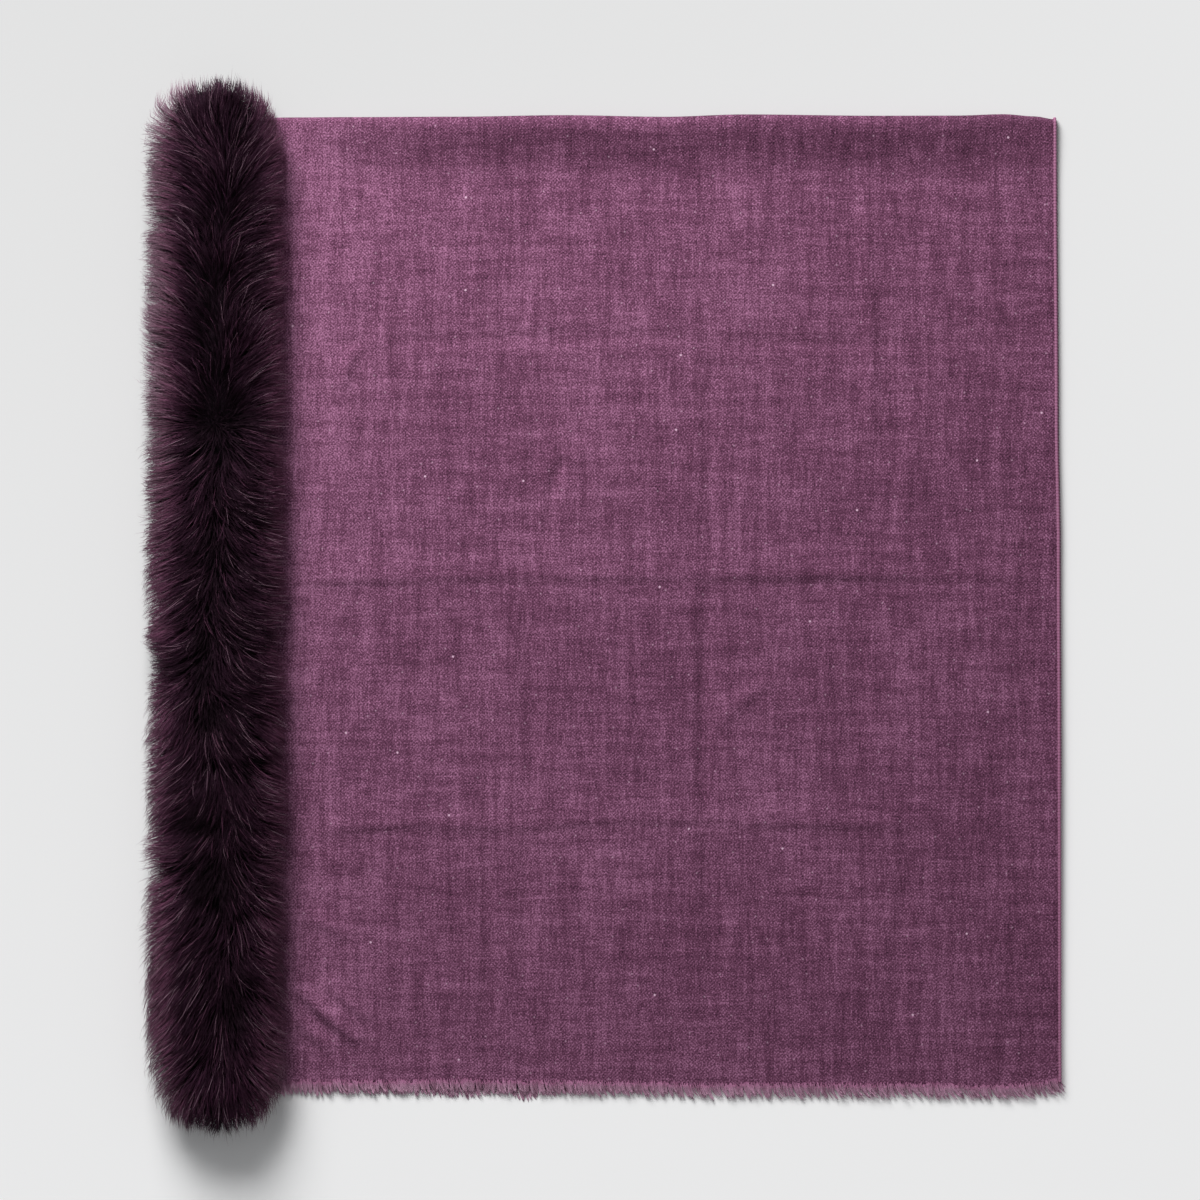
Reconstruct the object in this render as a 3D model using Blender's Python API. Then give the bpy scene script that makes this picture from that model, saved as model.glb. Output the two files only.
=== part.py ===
"""A fur-trimmed wool wrap, folded in half and laid flat.

Metres, +Z up, lying on the plane z = 0. One long panel of twill is folded across its middle, with
the fold at the far edge (+Y), the frayed ends at the near edge (-Y), the selvedges at the right (+X)
and a long-haired fur trim sewn along the whole left edge (-X), folded in half with the cloth.

On the panel, "across" is the distance from the fur seam, and "down" the distance from the fold.
"""

from collections import namedtuple

import bmesh
import bpy
import numpy as np

MM = 0.001
GAP = 0.3 * MM  # clearance between sewn pieces

# The panel: two leaves of cloth that share one solid, parted from each other along the open edges.
PANEL_WIDTH = 711 * MM
FOLDED_LENGTH = 871 * MM
SEAM_X = -307 * MM
FOLD_Y = 442.4 * MM
WALL = 1.5 * MM
LEAF_TOP = 4.2 * MM  # the upper leaf's face above the floor, where it lies flat
PARTED_DEPTH = 40 * MM  # how far in from the open edges the leaves are parted
HEM_EASE = 40 * MM  # how far in from the ends the wander of the hem dies out
FOLD_REACH = 57 * MM  # from the fold to where the upper leaf lies flat again
SLOPE_ROWS = 5
NOSE_STEPS = 8
PANEL_PITCH = 17 * MM  # widest spacing of the panel's sections
LOWER_ROWS = (0.13, 0.28, 0.43, 0.58, 0.71, 0.82)  # places along the flat lower leaf, in FOLDED_LENGTH

# The fold, from the seam to the selvedge: how far it reaches past FOLD_Y and how high it swells.
FoldRow = namedtuple("FoldRow", "across reach swell")
FOLD = (
    FoldRow(0, -0.9, 0.4),
    FoldRow(30, -0.9, 2.6),
    FoldRow(75, -0.9, 6.0),
    FoldRow(170, -0.7, 8.6),
    FoldRow(268, 0.6, 9.6),
    FoldRow(358, -0.8, 9.0),
    FoldRow(430, 1.4, 8.0),
    FoldRow(547, 0.1, 9.2),
    FoldRow(620, 0.3, 8.6),
    FoldRow(662, 1.8, 5.0),
    FoldRow(692, 0.0, 2.6),
    FoldRow(711, -2.6, 1.4),
)

# The ends: how far each leaf reaches past FOLDED_LENGTH, and how far the upper one lifts there.
HemRow = namedtuple("HemRow", "across upper lower lift")
HEM = (
    HemRow(0, -1.0, -4.0, 0.2),
    HemRow(60, -1.4, -3.6, 0.9),
    HemRow(125, -1.2, -3.0, 0.1),
    HemRow(180, -2.0, 2.6, 0.6),
    HemRow(208, -1.2, -1.0, 0.2),
    HemRow(232, -0.8, 3.0, 0.1),
    HemRow(270, -0.8, -3.0, 0.8),
    HemRow(340, 0.6, -3.4, 0.3),
    HemRow(400, 1.7, -4.0, 0.2),
    HemRow(500, 1.4, -4.4, 1.1),
    HemRow(600, 1.8, -3.6, 0.4),
    HemRow(655, 3.2, -3.4, 0.6),
    HemRow(692, 0.8, -4.0, 1.0),
    HemRow(711, -3.2, -5.0, 1.2),
)

# The selvedges: how far each leaf reaches past PANEL_WIDTH, and how far the upper one lifts there.
SelvedgeRow = namedtuple("SelvedgeRow", "down upper lower lift")
SELVEDGE = (
    SelvedgeRow(0, -1.9, -1.9, 0.0),
    SelvedgeRow(45, -1.7, -0.5, 0.2),
    SelvedgeRow(270, -0.6, 0.9, 0.6),
    SelvedgeRow(390, 1.2, 2.6, 1.0),
    SelvedgeRow(600, 1.9, 3.2, 1.9),
    SelvedgeRow(680, 2.2, 1.4, 1.4),
    SelvedgeRow(780, 2.4, 0.6, 0.7),
    SelvedgeRow(871, 2.6, 0.6, 0.3),
)

# Old fold lines and creases: soft ridges from (across_a, down_a) to (across_b, down_b). The gentle
# flank, `broad` wide, lies to the left of the way from a to b, and the sharp one, `sharp` wide, to
# its right. Bow bends the ridge towards its gentle flank.
Crease = namedtuple("Crease", "across_a down_a across_b down_b rise broad sharp bow")
CREASES = (
    # First press line, a quarter of the way down
    Crease(70, 203, 196, 199, 1.1, 17, 8, -2),
    Crease(185, 200, 400, 203, 0.6, 15, 8, 1),
    Crease(390, 202, 680, 202, 0.7, 15, 8, -1),
    # Second press line, half way down
    Crease(36, 414, 240, 415, 1.5, 20, 8, -1),
    Crease(228, 415, 395, 413, 0.7, 16, 8, 0),
    Crease(384, 411, 612, 417, 2.3, 24, 9, -3),
    Crease(600, 415, 690, 415, 0.6, 14, 8, 0),
    # Third press line, three quarters of the way down
    Crease(56, 646, 232, 636, 1.5, 20, 8, 3),
    Crease(222, 636, 394, 639, 1.1, 18, 8, -2),
    Crease(382, 637, 600, 638, 1.4, 18, 8, 1),
    # Upright lines between the press lines
    Crease(236, 410, 254, 205, 0.8, 16, 9, 2),
    Crease(237, 622, 234, 418, 1.0, 18, 9, -2),
    Crease(399, 410, 399, 206, 0.8, 18, 9, 2),
    Crease(393, 630, 387, 417, 1.9, 30, 9, 3),
    Crease(398, 832, 395, 640, 1.0, 20, 9, -2),
    Crease(77, 618, 75, 424, 0.9, 14, 9, 1),
    Crease(527, 168, 531, 62, 0.9, 13, 9, 3),
    Crease(527, 600, 530, 432, 1.0, 15, 9, -3),
    Crease(562, 842, 572, 644, 1.2, 16, 10, -4),
    Crease(200, 834, 202, 642, 0.9, 15, 9, 2),
    Crease(566, 368, 604, 222, 0.8, 15, 9, 2),
    # Slanting crumples
    Crease(404, 552, 458, 504, 1.4, 11, 7, 3),
    Crease(72, 244, 126, 204, 0.9, 11, 8, 5),
    Crease(80, 548, 108, 529, 0.9, 10, 7, 2),
    # Pull of the trim's lower end on the cloth beside it
    Crease(30, 790, 86, 834, 1.1, 11, 8, -2),
    Crease(26, 716, 76, 738, 0.9, 10, 8, 2),
)
HEAVE = 0.3 * MM  # slow rise and fall of the whole upper leaf
HEAVE_ACROSS = 187 * MM
HEAVE_DOWN = 241 * MM
SEAM_EASE = 24 * MM  # the seam holds the cloth flat this far in

# The fur: one plump roll, the trim's upper run lying on its lower run. Each section's reaches are
# from the roll's axis, and its crown and belly are above and below it.
FUR_AXIS_X = -344.8 * MM
FUR_AXIS_Z = 24 * MM
FUR_TOP_Y = 470 * MM
FUR_PITCH = 15 * MM
FurRow = namedtuple("FurRow", "along left right crown belly")
FUR = (
    FurRow(0, 16, 10, 8, 7),
    FurRow(4, 34, 18, 17, 13),
    FurRow(9, 43, 22, 23, 17),
    FurRow(17, 51, 29, 28, 20),
    FurRow(27, 58, 37, 32, 22),
    FurRow(40, 62, 45, 34.5, 24),
    FurRow(58, 63, 54, 36, 24),
    FurRow(86, 62, 61, 37, 24),
    FurRow(200, 63, 63, 37, 24),
    FurRow(290, 62, 62, 32, 24),
    FurRow(380, 63, 62, 37, 24),
    FurRow(560, 62, 63, 38, 24),
    FurRow(680, 62, 65, 32, 24),
    FurRow(790, 63, 64, 37, 24),
    FurRow(876, 61, 64, 36, 24),
    FurRow(895, 56, 57, 34.5, 24),
    FurRow(912, 49, 46, 31, 22),
    FurRow(922, 42, 38, 28, 20),
    FurRow(931, 32, 29, 23, 17),
    FurRow(937, 20, 21, 17, 13),
    FurRow(940, 10, 11, 8, 7),
)
FUR_SQUARENESS = 2.3  # power of the section's super-ellipse: 2 is round
FUR_FOOT = 0.74  # half width of the flat underside, as a share of the roll's
FUR_ARC_POINTS = 25
FUR_OVERHANG = 30 * MM  # how far the roll bulges out over the cloth
FUR_END_BULGE = 1 * MM
LIP = 1 * MM  # turn of the underside where no cloth lies below it
TUCK = 0.5 * MM
FURROW_Z = 20 * MM  # the parting between the two runs, on the outer side
FURROW_DEPTH = 5 * MM
FURROW_WIDTH = 5 * MM
LOCK_OUT = (1.5 * MM, 4.5 * MM)  # how far each lock's tip stands out of the roll
LOCK_IN = (1.5 * MM, 3.5 * MM)
LOCK_SWEEP = (6 * MM, 14 * MM)  # how far the tips lie along the roll
LOCK_SPREAD = 6 * MM  # how far the tips on the flanks lie away from the crown
LOCK_JITTER = 1.5 * MM
WHORL_ALONG = 291 * MM  # above it the locks sweep to the top end, below it to the lower end
WHORL_EASE = 40 * MM
CLOTH_END_EASE = 12 * MM
LOCK_END_EASE = 20 * MM  # the locks stand straighter this near the roll's ends
FLANK_LIE = 0.3  # sweep of the lowest locks, as a share of the crown's

# The frayed ends: locks of yarn on a strip of cross threads.
STRIP_DEPTH = 2 * MM
YARN = 1.0 * MM
FRINGE_MARGIN = 2 * MM
UPPER_LOCKS = 104
LOWER_LOCKS = 66
LOCK_LENGTHS = (7.5 * MM, 11 * MM)
LOCK_LEAN = 3.2 * MM
LOCK_CURL = 0.8 * MM
LOCK_DROOP = 0.6 * MM  # fall of the upper locks at their waists, and again at their tips
WAIST_AT = 0.5  # share of a lock's length
CORNER_LEAN = 8.5 * MM  # the last lock of the upper leaf strays sideways
LOWER_FRINGE_Z = 0.3 * MM
UPPER_FRINGE_LOWEST = 2.1 * MM


def ease(t):
    """Smooth step from 0 to 1 as t goes from 0 to 1."""
    t = np.clip(t, 0, 1)
    return t * t * (3 - 2 * t)


def read(rows, column, place):
    """The named column of a table in millimetres, eased from each row to the next, in metres."""
    places = np.array([row[0] for row in rows]) * MM
    values = np.array([getattr(row, column) for row in rows]) * MM
    after = np.clip(np.searchsorted(places, place), 1, len(rows) - 1)
    step = ease((place - places[after - 1]) / (places[after] - places[after - 1]))
    return values[after - 1] + (values[after] - values[after - 1]) * step


def stations(low, high, pitch, marks):
    """Places from low to high: every mark, and even steps of about a pitch between the marks."""
    result = [low]
    for mark in [*sorted(marks), high]:
        start = result[-1]
        if mark - start < pitch / 4 or (mark < high and high - mark < pitch / 4):
            continue
        steps = max(1, round((mark - start) / pitch))
        result += [start + (mark - start) * (step + 1) / steps for step in range(steps)]
    return np.array(result)


def crease_relief(across, down):
    """Sum of the creases: each is a two-sided bell across its line, easing out at its ends."""
    relief = np.zeros(np.broadcast(across, down).shape)
    for crease in CREASES:
        ax, ay, bx, by, rise, broad, sharp, bow = np.array(crease) * MM
        length = np.hypot(bx - ax, by - ay)
        way_x = (bx - ax) / length
        way_y = (by - ay) / length
        run = ((across - ax) * way_x + (down - ay) * way_y) / length
        ends = np.clip(np.sin(np.pi * np.clip(run, 0, 1)), 0, 1)
        left = (across - ax) * way_y - (down - ay) * way_x - bow * ends
        flank = np.where(left > 0, broad, sharp)
        relief += rise * np.exp(-((left / flank) ** 2)) * np.sqrt(ends)
    return relief


def leaf_height(across, down):
    """Height of the upper leaf's face: flat, with its creases, lifted edges and swollen fold."""
    hem = ease((down - FOLDED_LENGTH) / HEM_EASE + 1)
    selvedge = ease((across - PANEL_WIDTH) / PARTED_DEPTH + 1)
    lifts = read(HEM, "lift", across) * hem + read(SELVEDGE, "lift", down) * selvedge
    heave = HEAVE * np.sin(across / HEAVE_ACROSS * np.pi) * np.sin(down / HEAVE_DOWN * np.pi)
    loose = ease(across / SEAM_EASE)
    nose, swell = nose_size(across)
    slope = (down + read(FOLD, "reach", across) - nose) / (FOLD_REACH - nose)
    swollen = swell * (1 - ease(slope))
    return LEAF_TOP + (crease_relief(across, down) + heave) * loose + lifts + swollen


def nose_size(across):
    """How far behind the fold its crest lies, and how high the crest stands above the flat leaf."""
    swell = read(FOLD, "swell", across)
    return 0.6 * (LEAF_TOP + swell) + 1 * MM, swell


def panel_rows():
    """Rows of sections from the upper leaf's end, over the fold, to the lower leaf's end.

    Returns the column places, the outer and inner points of every row, and the rows where the
    leaves part (upper, lower) and the fold turns.
    """
    parted = FOLDED_LENGTH - PARTED_DEPTH
    upright = [c for c in CREASES if abs(c.across_a - c.across_b) * 3 < abs(c.down_a - c.down_b)]
    level = [c for c in CREASES if abs(c.down_a - c.down_b) * 8 < abs(c.across_a - c.across_b)]
    crests = {round((c.across_a + c.across_b) / 2 / 6) * 6 * MM for c in upright}
    presses = {round((c.down_a + c.down_b) / 2 / 6) * 6 * MM for c in level}
    across = stations(0, PANEL_WIDTH, PANEL_PITCH, [*crests, PANEL_WIDTH - PARTED_DEPTH])
    marks = [press + side * PANEL_PITCH / 2 for press in presses for side in (-1, 0, 1)]
    down = stations(FOLD_REACH, FOLDED_LENGTH, PANEL_PITCH, [*marks, parted])
    reach = read(FOLD, "reach", across)
    nose, swell = nose_size(across)
    middle = (LEAF_TOP + swell) / 2

    outer, inner = [], []

    def add_row(outer_down, outer_z, inner_down, inner_z, leaf):
        for rows, place, height in ((outer, outer_down, outer_z), (inner, inner_down, inner_z)):
            free = ease((across - PANEL_WIDTH) / PARTED_DEPTH + 1)
            edge = across + read(SELVEDGE, leaf, np.clip(place, 0, FOLDED_LENGTH)) * free
            rows.append(np.stack([edge, -place, height + 0 * across], axis=-1))

    for place in down[::-1]:
        row = place + read(HEM, "upper", across) * ease((place - FOLDED_LENGTH) / HEM_EASE + 1)
        add_row(row, leaf_height(across, row), row, leaf_height(across, row) - WALL, "upper")
    for share in np.linspace(1, 0, SLOPE_ROWS + 1)[1:-1]:
        row = nose + share * (FOLD_REACH - nose) - reach
        add_row(row, leaf_height(across, row), row, leaf_height(across, row) - WALL, "upper")
    for turn in np.linspace(np.pi / 2, -np.pi / 2, NOSE_STEPS + 1):
        outer_row = nose * (1 - np.cos(turn)) - reach
        inner_row = nose - (nose - WALL) * np.cos(turn) - reach
        outer_z = middle * (1 + np.sin(turn))
        inner_z = middle + (middle - WALL) * np.sin(turn)
        add_row(outer_row, outer_z, inner_row, inner_z, "upper" if turn > 0 else "lower")
    for place in [FOLD_REACH, *np.array(LOWER_ROWS) * FOLDED_LENGTH, parted, FOLDED_LENGTH]:
        row = place + read(HEM, "lower", across) * ease((place - FOLDED_LENGTH) / HEM_EASE + 1)
        add_row(row, 0 * across, row, WALL + 0 * across, "lower")

    upper_part = int(np.argmin(np.abs(down[::-1] - parted)))
    turn_row = len(down) + SLOPE_ROWS - 1 + NOSE_STEPS // 2
    return across, np.array(outer), np.array(inner), upper_part, len(outer) - 2, turn_row


def lace(bm, near, far):
    """Fills the strip between two chains of (vertex, station) pairs with triangles, stepping along
    whichever chain's next station comes first."""
    a = b = 0
    while a < len(near) - 1 or b < len(far) - 1:
        if b == len(far) - 1 or (a < len(near) - 1 and near[a + 1][1] <= far[b + 1][1]):
            corners = (near[a][0], near[a + 1][0], far[b][0])
            a += 1
        else:
            corners = (near[a][0], far[b + 1][0], far[b][0])
            b += 1
        if len(set(corners)) == 3:
            bm.faces.new(corners)


def finish(bm, name, material, location):
    """Turns the faces outwards and makes the object."""
    bmesh.ops.recalc_face_normals(bm, faces=bm.faces[:])
    mesh = bpy.data.meshes.new(name)
    bm.to_mesh(mesh)
    bm.free()
    mesh.shade_smooth()
    mesh.set_sharp_from_angle(angle=np.radians(50))
    mesh.materials.append(material)
    obj = bpy.data.objects.new(name, mesh)
    obj.location = location
    bpy.context.scene.collection.objects.link(obj)
    return obj


def build_panel(material):
    """The folded panel: a skin over both leaves and the fold, with the leaves parted along the
    selvedges and the frayed ends, and sharing one solid further in.

    Returns the points of the two leaves' end rows.
    """
    across, outer, inner, upper_part, lower_part, turn = panel_rows()
    last_row = len(outer) - 1
    last = len(across) - 1
    part = int(np.argmin(np.abs(across - (PANEL_WIDTH - PARTED_DEPTH))))
    bm = bmesh.new()
    skin = [[bm.verts.new(point) for point in row] for row in outer]
    inside = [
        [
            bm.verts.new(point) if column >= part or not upper_part < row < lower_part else None
            for column, point in enumerate(points)
        ]
        for row, points in enumerate(inner)
    ]

    for row in range(last_row):
        at_end = row < upper_part or row >= lower_part
        for column in range(last):
            corners = [(row, column), (row, column + 1), (row + 1, column + 1), (row + 1, column)]
            bm.faces.new([skin[r][c] for r, c in corners])
            if at_end or column >= part:
                bm.faces.new([inside[r][c] for r, c in corners])
        sides = [last, 0] if at_end else [last]
        for side in sides:
            bm.faces.new(
                [skin[row][side], skin[row + 1][side], inside[row + 1][side], inside[row][side]]
            )
    for column in range(last):
        for end in (0, last_row):
            a, b = skin[end][column : column + 2]
            c, d = inside[end][column : column + 2]
            bm.faces.new([a, b, d, c])
        if column < part:
            a, b = inside[upper_part][column : column + 2]
            c, d = inside[lower_part][column : column + 2]
            bm.faces.new([a, b, d, c])

    def chain(grid, points, rows, column):
        return [(grid[row][column], points[row][column][1]) for row in rows]

    upper_rows = range(upper_part, turn + 1)
    lower_rows = range(lower_part, turn - 1, -1)
    lace(
        bm,
        chain(inside, inner, upper_rows, part),
        chain(inside, inner, lower_rows, part),
    )
    upper_seam = chain(skin, outer, upper_rows, 0)
    first_step = upper_seam[1][1]
    corner = [inside[upper_part][0], inside[lower_part][0], skin[lower_part][0]]
    lower_seam = [upper_seam[0], *((vertex, first_step) for vertex in corner)]
    lower_seam += chain(skin, outer, lower_rows, 0)[1:]
    lace(bm, upper_seam, lower_seam)
    finish(bm, "wool_panel", material, (SEAM_X, FOLD_Y, 0))
    return outer[0], outer[-1]


def fur_section(along, ledge, on_cloth):
    """Points of one section of the roll, from its outer foot over the crown to the seam's foot.

    The arc is a super-ellipse about the axis. Where the roll lies on cloth, it ends in a ledge just
    above the cloth and drops to the floor just clear of the seam.
    """
    left, right, crown, belly = (read(FUR, name, along) for name in FurRow._fields[1:])
    depth = belly / FUR_FOOT
    foot = np.arcsin(FUR_FOOT ** (FUR_SQUARENESS / 2))
    hover = np.clip((FUR_AXIS_Z - ledge) / depth, 0.1, FUR_FOOT) ** (FUR_SQUARENESS / 2)
    lip = foot + (np.arcsin(hover) - foot) * on_cloth
    angle = np.linspace(np.pi + foot, -lip, FUR_ARC_POINTS)
    power = 2 / FUR_SQUARENESS
    wide = np.sign(np.cos(angle)) * np.abs(np.cos(angle)) ** power
    high = np.sign(np.sin(angle)) * np.abs(np.sin(angle)) ** power
    x = wide * np.where(wide < 0, left, right)
    z = FUR_AXIS_Z + high * np.where(high < 0, depth, crown)
    parting = np.exp(-(((z - FURROW_Z) / FURROW_WIDTH) ** 2)) * (wide < -0.5)
    x += FURROW_DEPTH * parting * ease(belly / FUR_AXIS_Z * 4 - 3)
    z[0] = FUR_AXIS_Z - belly

    free_x = x[-1] - LIP
    seam_x = min(SEAM_X - GAP - FUR_AXIS_X, free_x)
    inner_x = free_x + (seam_x - free_x) * on_cloth
    z[-1] = max(z[-1], z[0] + 2 * LIP)
    x = np.append(x, [inner_x, inner_x - LIP * (1 - on_cloth)])
    z = np.append(z, [z[-1] - TUCK * (1 - on_cloth), z[0]])
    return x, z


def build_fur(material):
    """The fur roll: a loft of sections, every other point of its arc drawn out into a lock that
    leans along the lie of the hair, and the points between them pressed in."""
    length = FUR[-1].along * MM
    marks = [row.along * MM for row in FUR]
    along = stations(0, length, FUR_PITCH, marks)
    y = FUR_TOP_Y - along
    rng = np.random.default_rng(11)
    middle = (FUR_ARC_POINTS - 1) / 2
    fringe_end = FOLDED_LENGTH + LOCK_LENGTHS[1]
    bm = bmesh.new()
    rings = []
    for ring, place in enumerate(along):
        down = FOLD_Y - y[ring]
        past = max(-down, down - fringe_end, 0)
        on_cloth = 1 - ease(past / CLOTH_END_EASE)
        overhang = np.linspace(0, FUR_OVERHANG, 7)
        nose = nose_size(overhang)[0]
        ledge = leaf_height(overhang, np.clip(down, nose, FOLDED_LENGTH)).max() + GAP
        x, z = fur_section(place, ledge, on_cloth)
        swept = np.full(len(x), y[ring])
        ends = ease(min(place, length - place) / LOCK_END_EASE)
        lie = np.clip((WHORL_ALONG - place) / WHORL_EASE, -1, 1)
        arc = np.arange(1, FUR_ARC_POINTS - 1)
        away = np.hypot(x[arc], z[arc] - FUR_AXIS_Z)
        out_x, out_z = x[arc] / away, (z[arc] - FUR_AXIS_Z) / away
        raised = (ring + arc) % 2 == 0
        free = np.clip(np.minimum((FUR_ARC_POINTS - 1 - arc) / 3, arc / 2), 0, 1)
        tips = rng.uniform(*LOCK_OUT, len(arc))
        roots = -rng.uniform(*LOCK_IN, len(arc))
        size = np.where(raised, tips, roots) * free
        spread = LOCK_SPREAD * np.clip(2 * np.abs(out_x) * out_z, 0, 1) * raised * ends
        spread += rng.uniform(-LOCK_JITTER, LOCK_JITTER, len(arc)) * free * ends
        x[arc] += out_x * size + np.sign(out_x) * out_z * spread
        z[arc] += out_z * size - np.abs(out_x) * spread
        on_top = 1 - (1 - FLANK_LIE) * np.abs(arc - middle) / middle
        swept[arc] += rng.uniform(*LOCK_SWEEP, len(arc)) * lie * on_top * ends * raised
        x += FUR_AXIS_X
        rings.append([bm.verts.new(point) for point in zip(x, swept, z)])

    points = len(rings[0])
    for ring in range(len(rings) - 1):
        this, following = rings[ring], rings[ring + 1]
        for point in range(points - 1):
            a, b, c, d = this[point], this[point + 1], following[point + 1], following[point]
            if (ring + point) % 2:
                bm.faces.new((a, b, c))
                bm.faces.new((a, c, d))
            else:
                bm.faces.new((a, b, d))
                bm.faces.new((b, c, d))
        bm.faces.new((this[-1], this[0], following[0], following[-1]))
    for ring, end_y in ((rings[0], y[0] + FUR_END_BULGE), (rings[-1], y[-1] - FUR_END_BULGE)):
        hub = bm.verts.new((FUR_AXIS_X, end_y, FUR_AXIS_Z))
        for point in range(points):
            bm.faces.new((ring[point - 1], ring[point], hub))
    return finish(bm, "fur_trim", material, (0, 0, 0))


def build_fringe(name, leaf, end_row, locks, seed, material):
    """A strip of cross threads along a leaf's end, with locks of yarn growing from its near face.

    The strip follows the points of the leaf's end row. Each lock is a four-sided spike: a root in
    the strip, a narrower waist and a point.
    """
    rng = np.random.default_rng(seed)
    first = FRINGE_MARGIN
    final = end_row[-1, 0] - FRINGE_MARGIN / 4
    pitch = (final - first) / locks
    roots = first + pitch * (np.arange(locks) + 0.5 + rng.uniform(-0.25, 0.25, locks))
    turns = [x for x in end_row[:, 0] if first < x < final and np.abs(roots - x).min() > YARN]
    edges = np.sort([first, *(roots - YARN / 2), *(roots + YARN / 2), *turns, final])
    grows = np.isin(edges[:-1], roots - YARN / 2)
    back = np.interp(edges, end_row[:, 0], -end_row[:, 1]) + GAP
    if leaf == "upper":
        low = np.interp(edges, end_row[:, 0], end_row[:, 2]) - (WALL + YARN) / 2
    else:
        low = np.full(len(edges), LOWER_FRINGE_Z)
    front = back + STRIP_DEPTH

    bm = bmesh.new()
    rings = []
    for x, b, f, z in zip(edges, back, front, low):
        corners = ((x, -b, z), (x, -b, z + YARN), (x, -f, z + YARN), (x, -f, z))
        rings.append([bm.verts.new(corner) for corner in corners])
    bm.faces.new(rings[0])
    bm.faces.new(rings[-1])
    for cell in range(len(rings) - 1):
        this, following = rings[cell], rings[cell + 1]
        for side in (3, 0, 1):
            other = (side + 1) % 4
            bm.faces.new((this[side], this[other], following[other], following[side]))
        root = [this[2], this[3], following[3], following[2]]
        if not grows[cell]:
            bm.faces.new(root)
            continue
        length = rng.uniform(*LOCK_LENGTHS)
        lean = rng.uniform(-LOCK_LEAN, LOCK_LEAN)
        lean = abs(lean) if edges[cell] < SEAM_EASE else lean
        if edges[cell] > roots[-1] - YARN and leaf == "upper":
            lean = CORNER_LEAN
        curl = rng.uniform(-LOCK_CURL, LOCK_CURL)
        centre = (edges[cell] + edges[cell + 1]) / 2
        drop = LOCK_DROOP if leaf == "upper" else 0
        waist_z = low[cell] + YARN / 2 - drop
        tip_z = low[cell] + YARN / 2 - 2 * drop
        if leaf == "upper":
            tip_z = max(tip_z, UPPER_FRINGE_LOWEST)
            waist_z = max(waist_z, UPPER_FRINGE_LOWEST + YARN / 3)
        waist_x = centre + WAIST_AT * lean + curl
        waist_y = -front[cell] - length * WAIST_AT
        waist = [
            bm.verts.new((waist_x + side * YARN / 3, waist_y, waist_z + rise * YARN / 3))
            for side, rise in ((-1, 1), (-1, -1), (1, -1), (1, 1))
        ]
        tip = bm.verts.new((centre + lean, -front[cell] - length, tip_z))
        for side in range(4):
            other = (side + 1) % 4
            bm.faces.new((root[side], root[other], waist[other], waist[side]))
            bm.faces.new((waist[side], waist[other], tip))
    return finish(bm, name, material, (SEAM_X, FOLD_Y, 0))


def surface(name, colour, roughness):
    """A Principled material from an 8-bit sRGB colour."""
    material = bpy.data.materials.new(name)
    material.use_nodes = True
    shader = material.node_tree.nodes["Principled BSDF"]
    share = np.array(colour) / 255
    linear = np.where(share > 0.04045, ((share + 0.055) / 1.055) ** 2.4, share / 12.92)
    shader.inputs["Base Color"].default_value = (*linear, 1)
    shader.inputs["Roughness"].default_value = roughness
    shader.inputs["Metallic"].default_value = 0
    return material


def main():
    for obj in list(bpy.data.objects):
        bpy.data.objects.remove(obj)
    wool = surface("plum_twill", (118, 76, 102), 0.85)
    yarn = surface("loose_yarn", (132, 92, 116), 0.9)
    hair = surface("dark_plum_fur", (46, 28, 39), 0.7)
    ends = build_panel(wool)
    build_fur(hair)
    build_fringe("fringe_upper", "upper", ends[0], UPPER_LOCKS, 5, yarn)
    build_fringe("fringe_lower", "lower", ends[1], LOWER_LOCKS, 7, yarn)


main()
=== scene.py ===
"""Looks of a fur-trimmed wool wrap, folded in half and laid flat.

Metres, +Z up. On the cloth, "across" is the distance from the fur seam, and "down" the distance
from the fold. On the fur roll, "along" is the distance from its top end.
"""

from collections import namedtuple

import bpy
import numpy as np
from bpy.props import FloatProperty, FloatVectorProperty, IntProperty, PointerProperty
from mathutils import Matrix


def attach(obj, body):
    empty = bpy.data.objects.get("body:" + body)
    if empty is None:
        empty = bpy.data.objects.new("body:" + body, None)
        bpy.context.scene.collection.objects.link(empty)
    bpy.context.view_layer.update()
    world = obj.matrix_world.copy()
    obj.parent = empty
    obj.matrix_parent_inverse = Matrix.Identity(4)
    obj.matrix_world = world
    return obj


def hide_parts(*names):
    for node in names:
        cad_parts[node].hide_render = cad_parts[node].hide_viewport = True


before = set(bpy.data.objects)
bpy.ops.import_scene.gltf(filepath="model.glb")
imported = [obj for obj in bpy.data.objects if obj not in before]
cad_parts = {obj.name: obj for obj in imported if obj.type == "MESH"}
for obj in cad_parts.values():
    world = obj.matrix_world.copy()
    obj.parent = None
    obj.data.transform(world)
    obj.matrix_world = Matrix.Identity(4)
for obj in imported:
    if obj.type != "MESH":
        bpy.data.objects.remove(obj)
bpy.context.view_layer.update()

bl_info = {
    "name": "Fur-trimmed wool wrap",
    "version": (1, 0, 0),
    "blender": (4, 5, 0),
    "location": "View3D > Sidebar > Wrap",
    "description": "Dresses the folded wrap: twill, selvedges, frayed ends and long-haired fur",
    "category": "Add Mesh",
}

MM = 0.001
BAKE_MAP = "OFBake"  # name of each piece's second map, from 0 to 1, that a bake can use
MIX_FIRST, MIX_SECOND, MIX_RESULT = 6, 7, 2  # a Mix node's sockets that hold colours
STRAND_SIDES = 3
ASLANT = (0.31, 0.23, 0.92)  # a way that no strand runs
WHITE = (1, 1, 1)
BLACK = (0, 0, 0)

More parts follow.
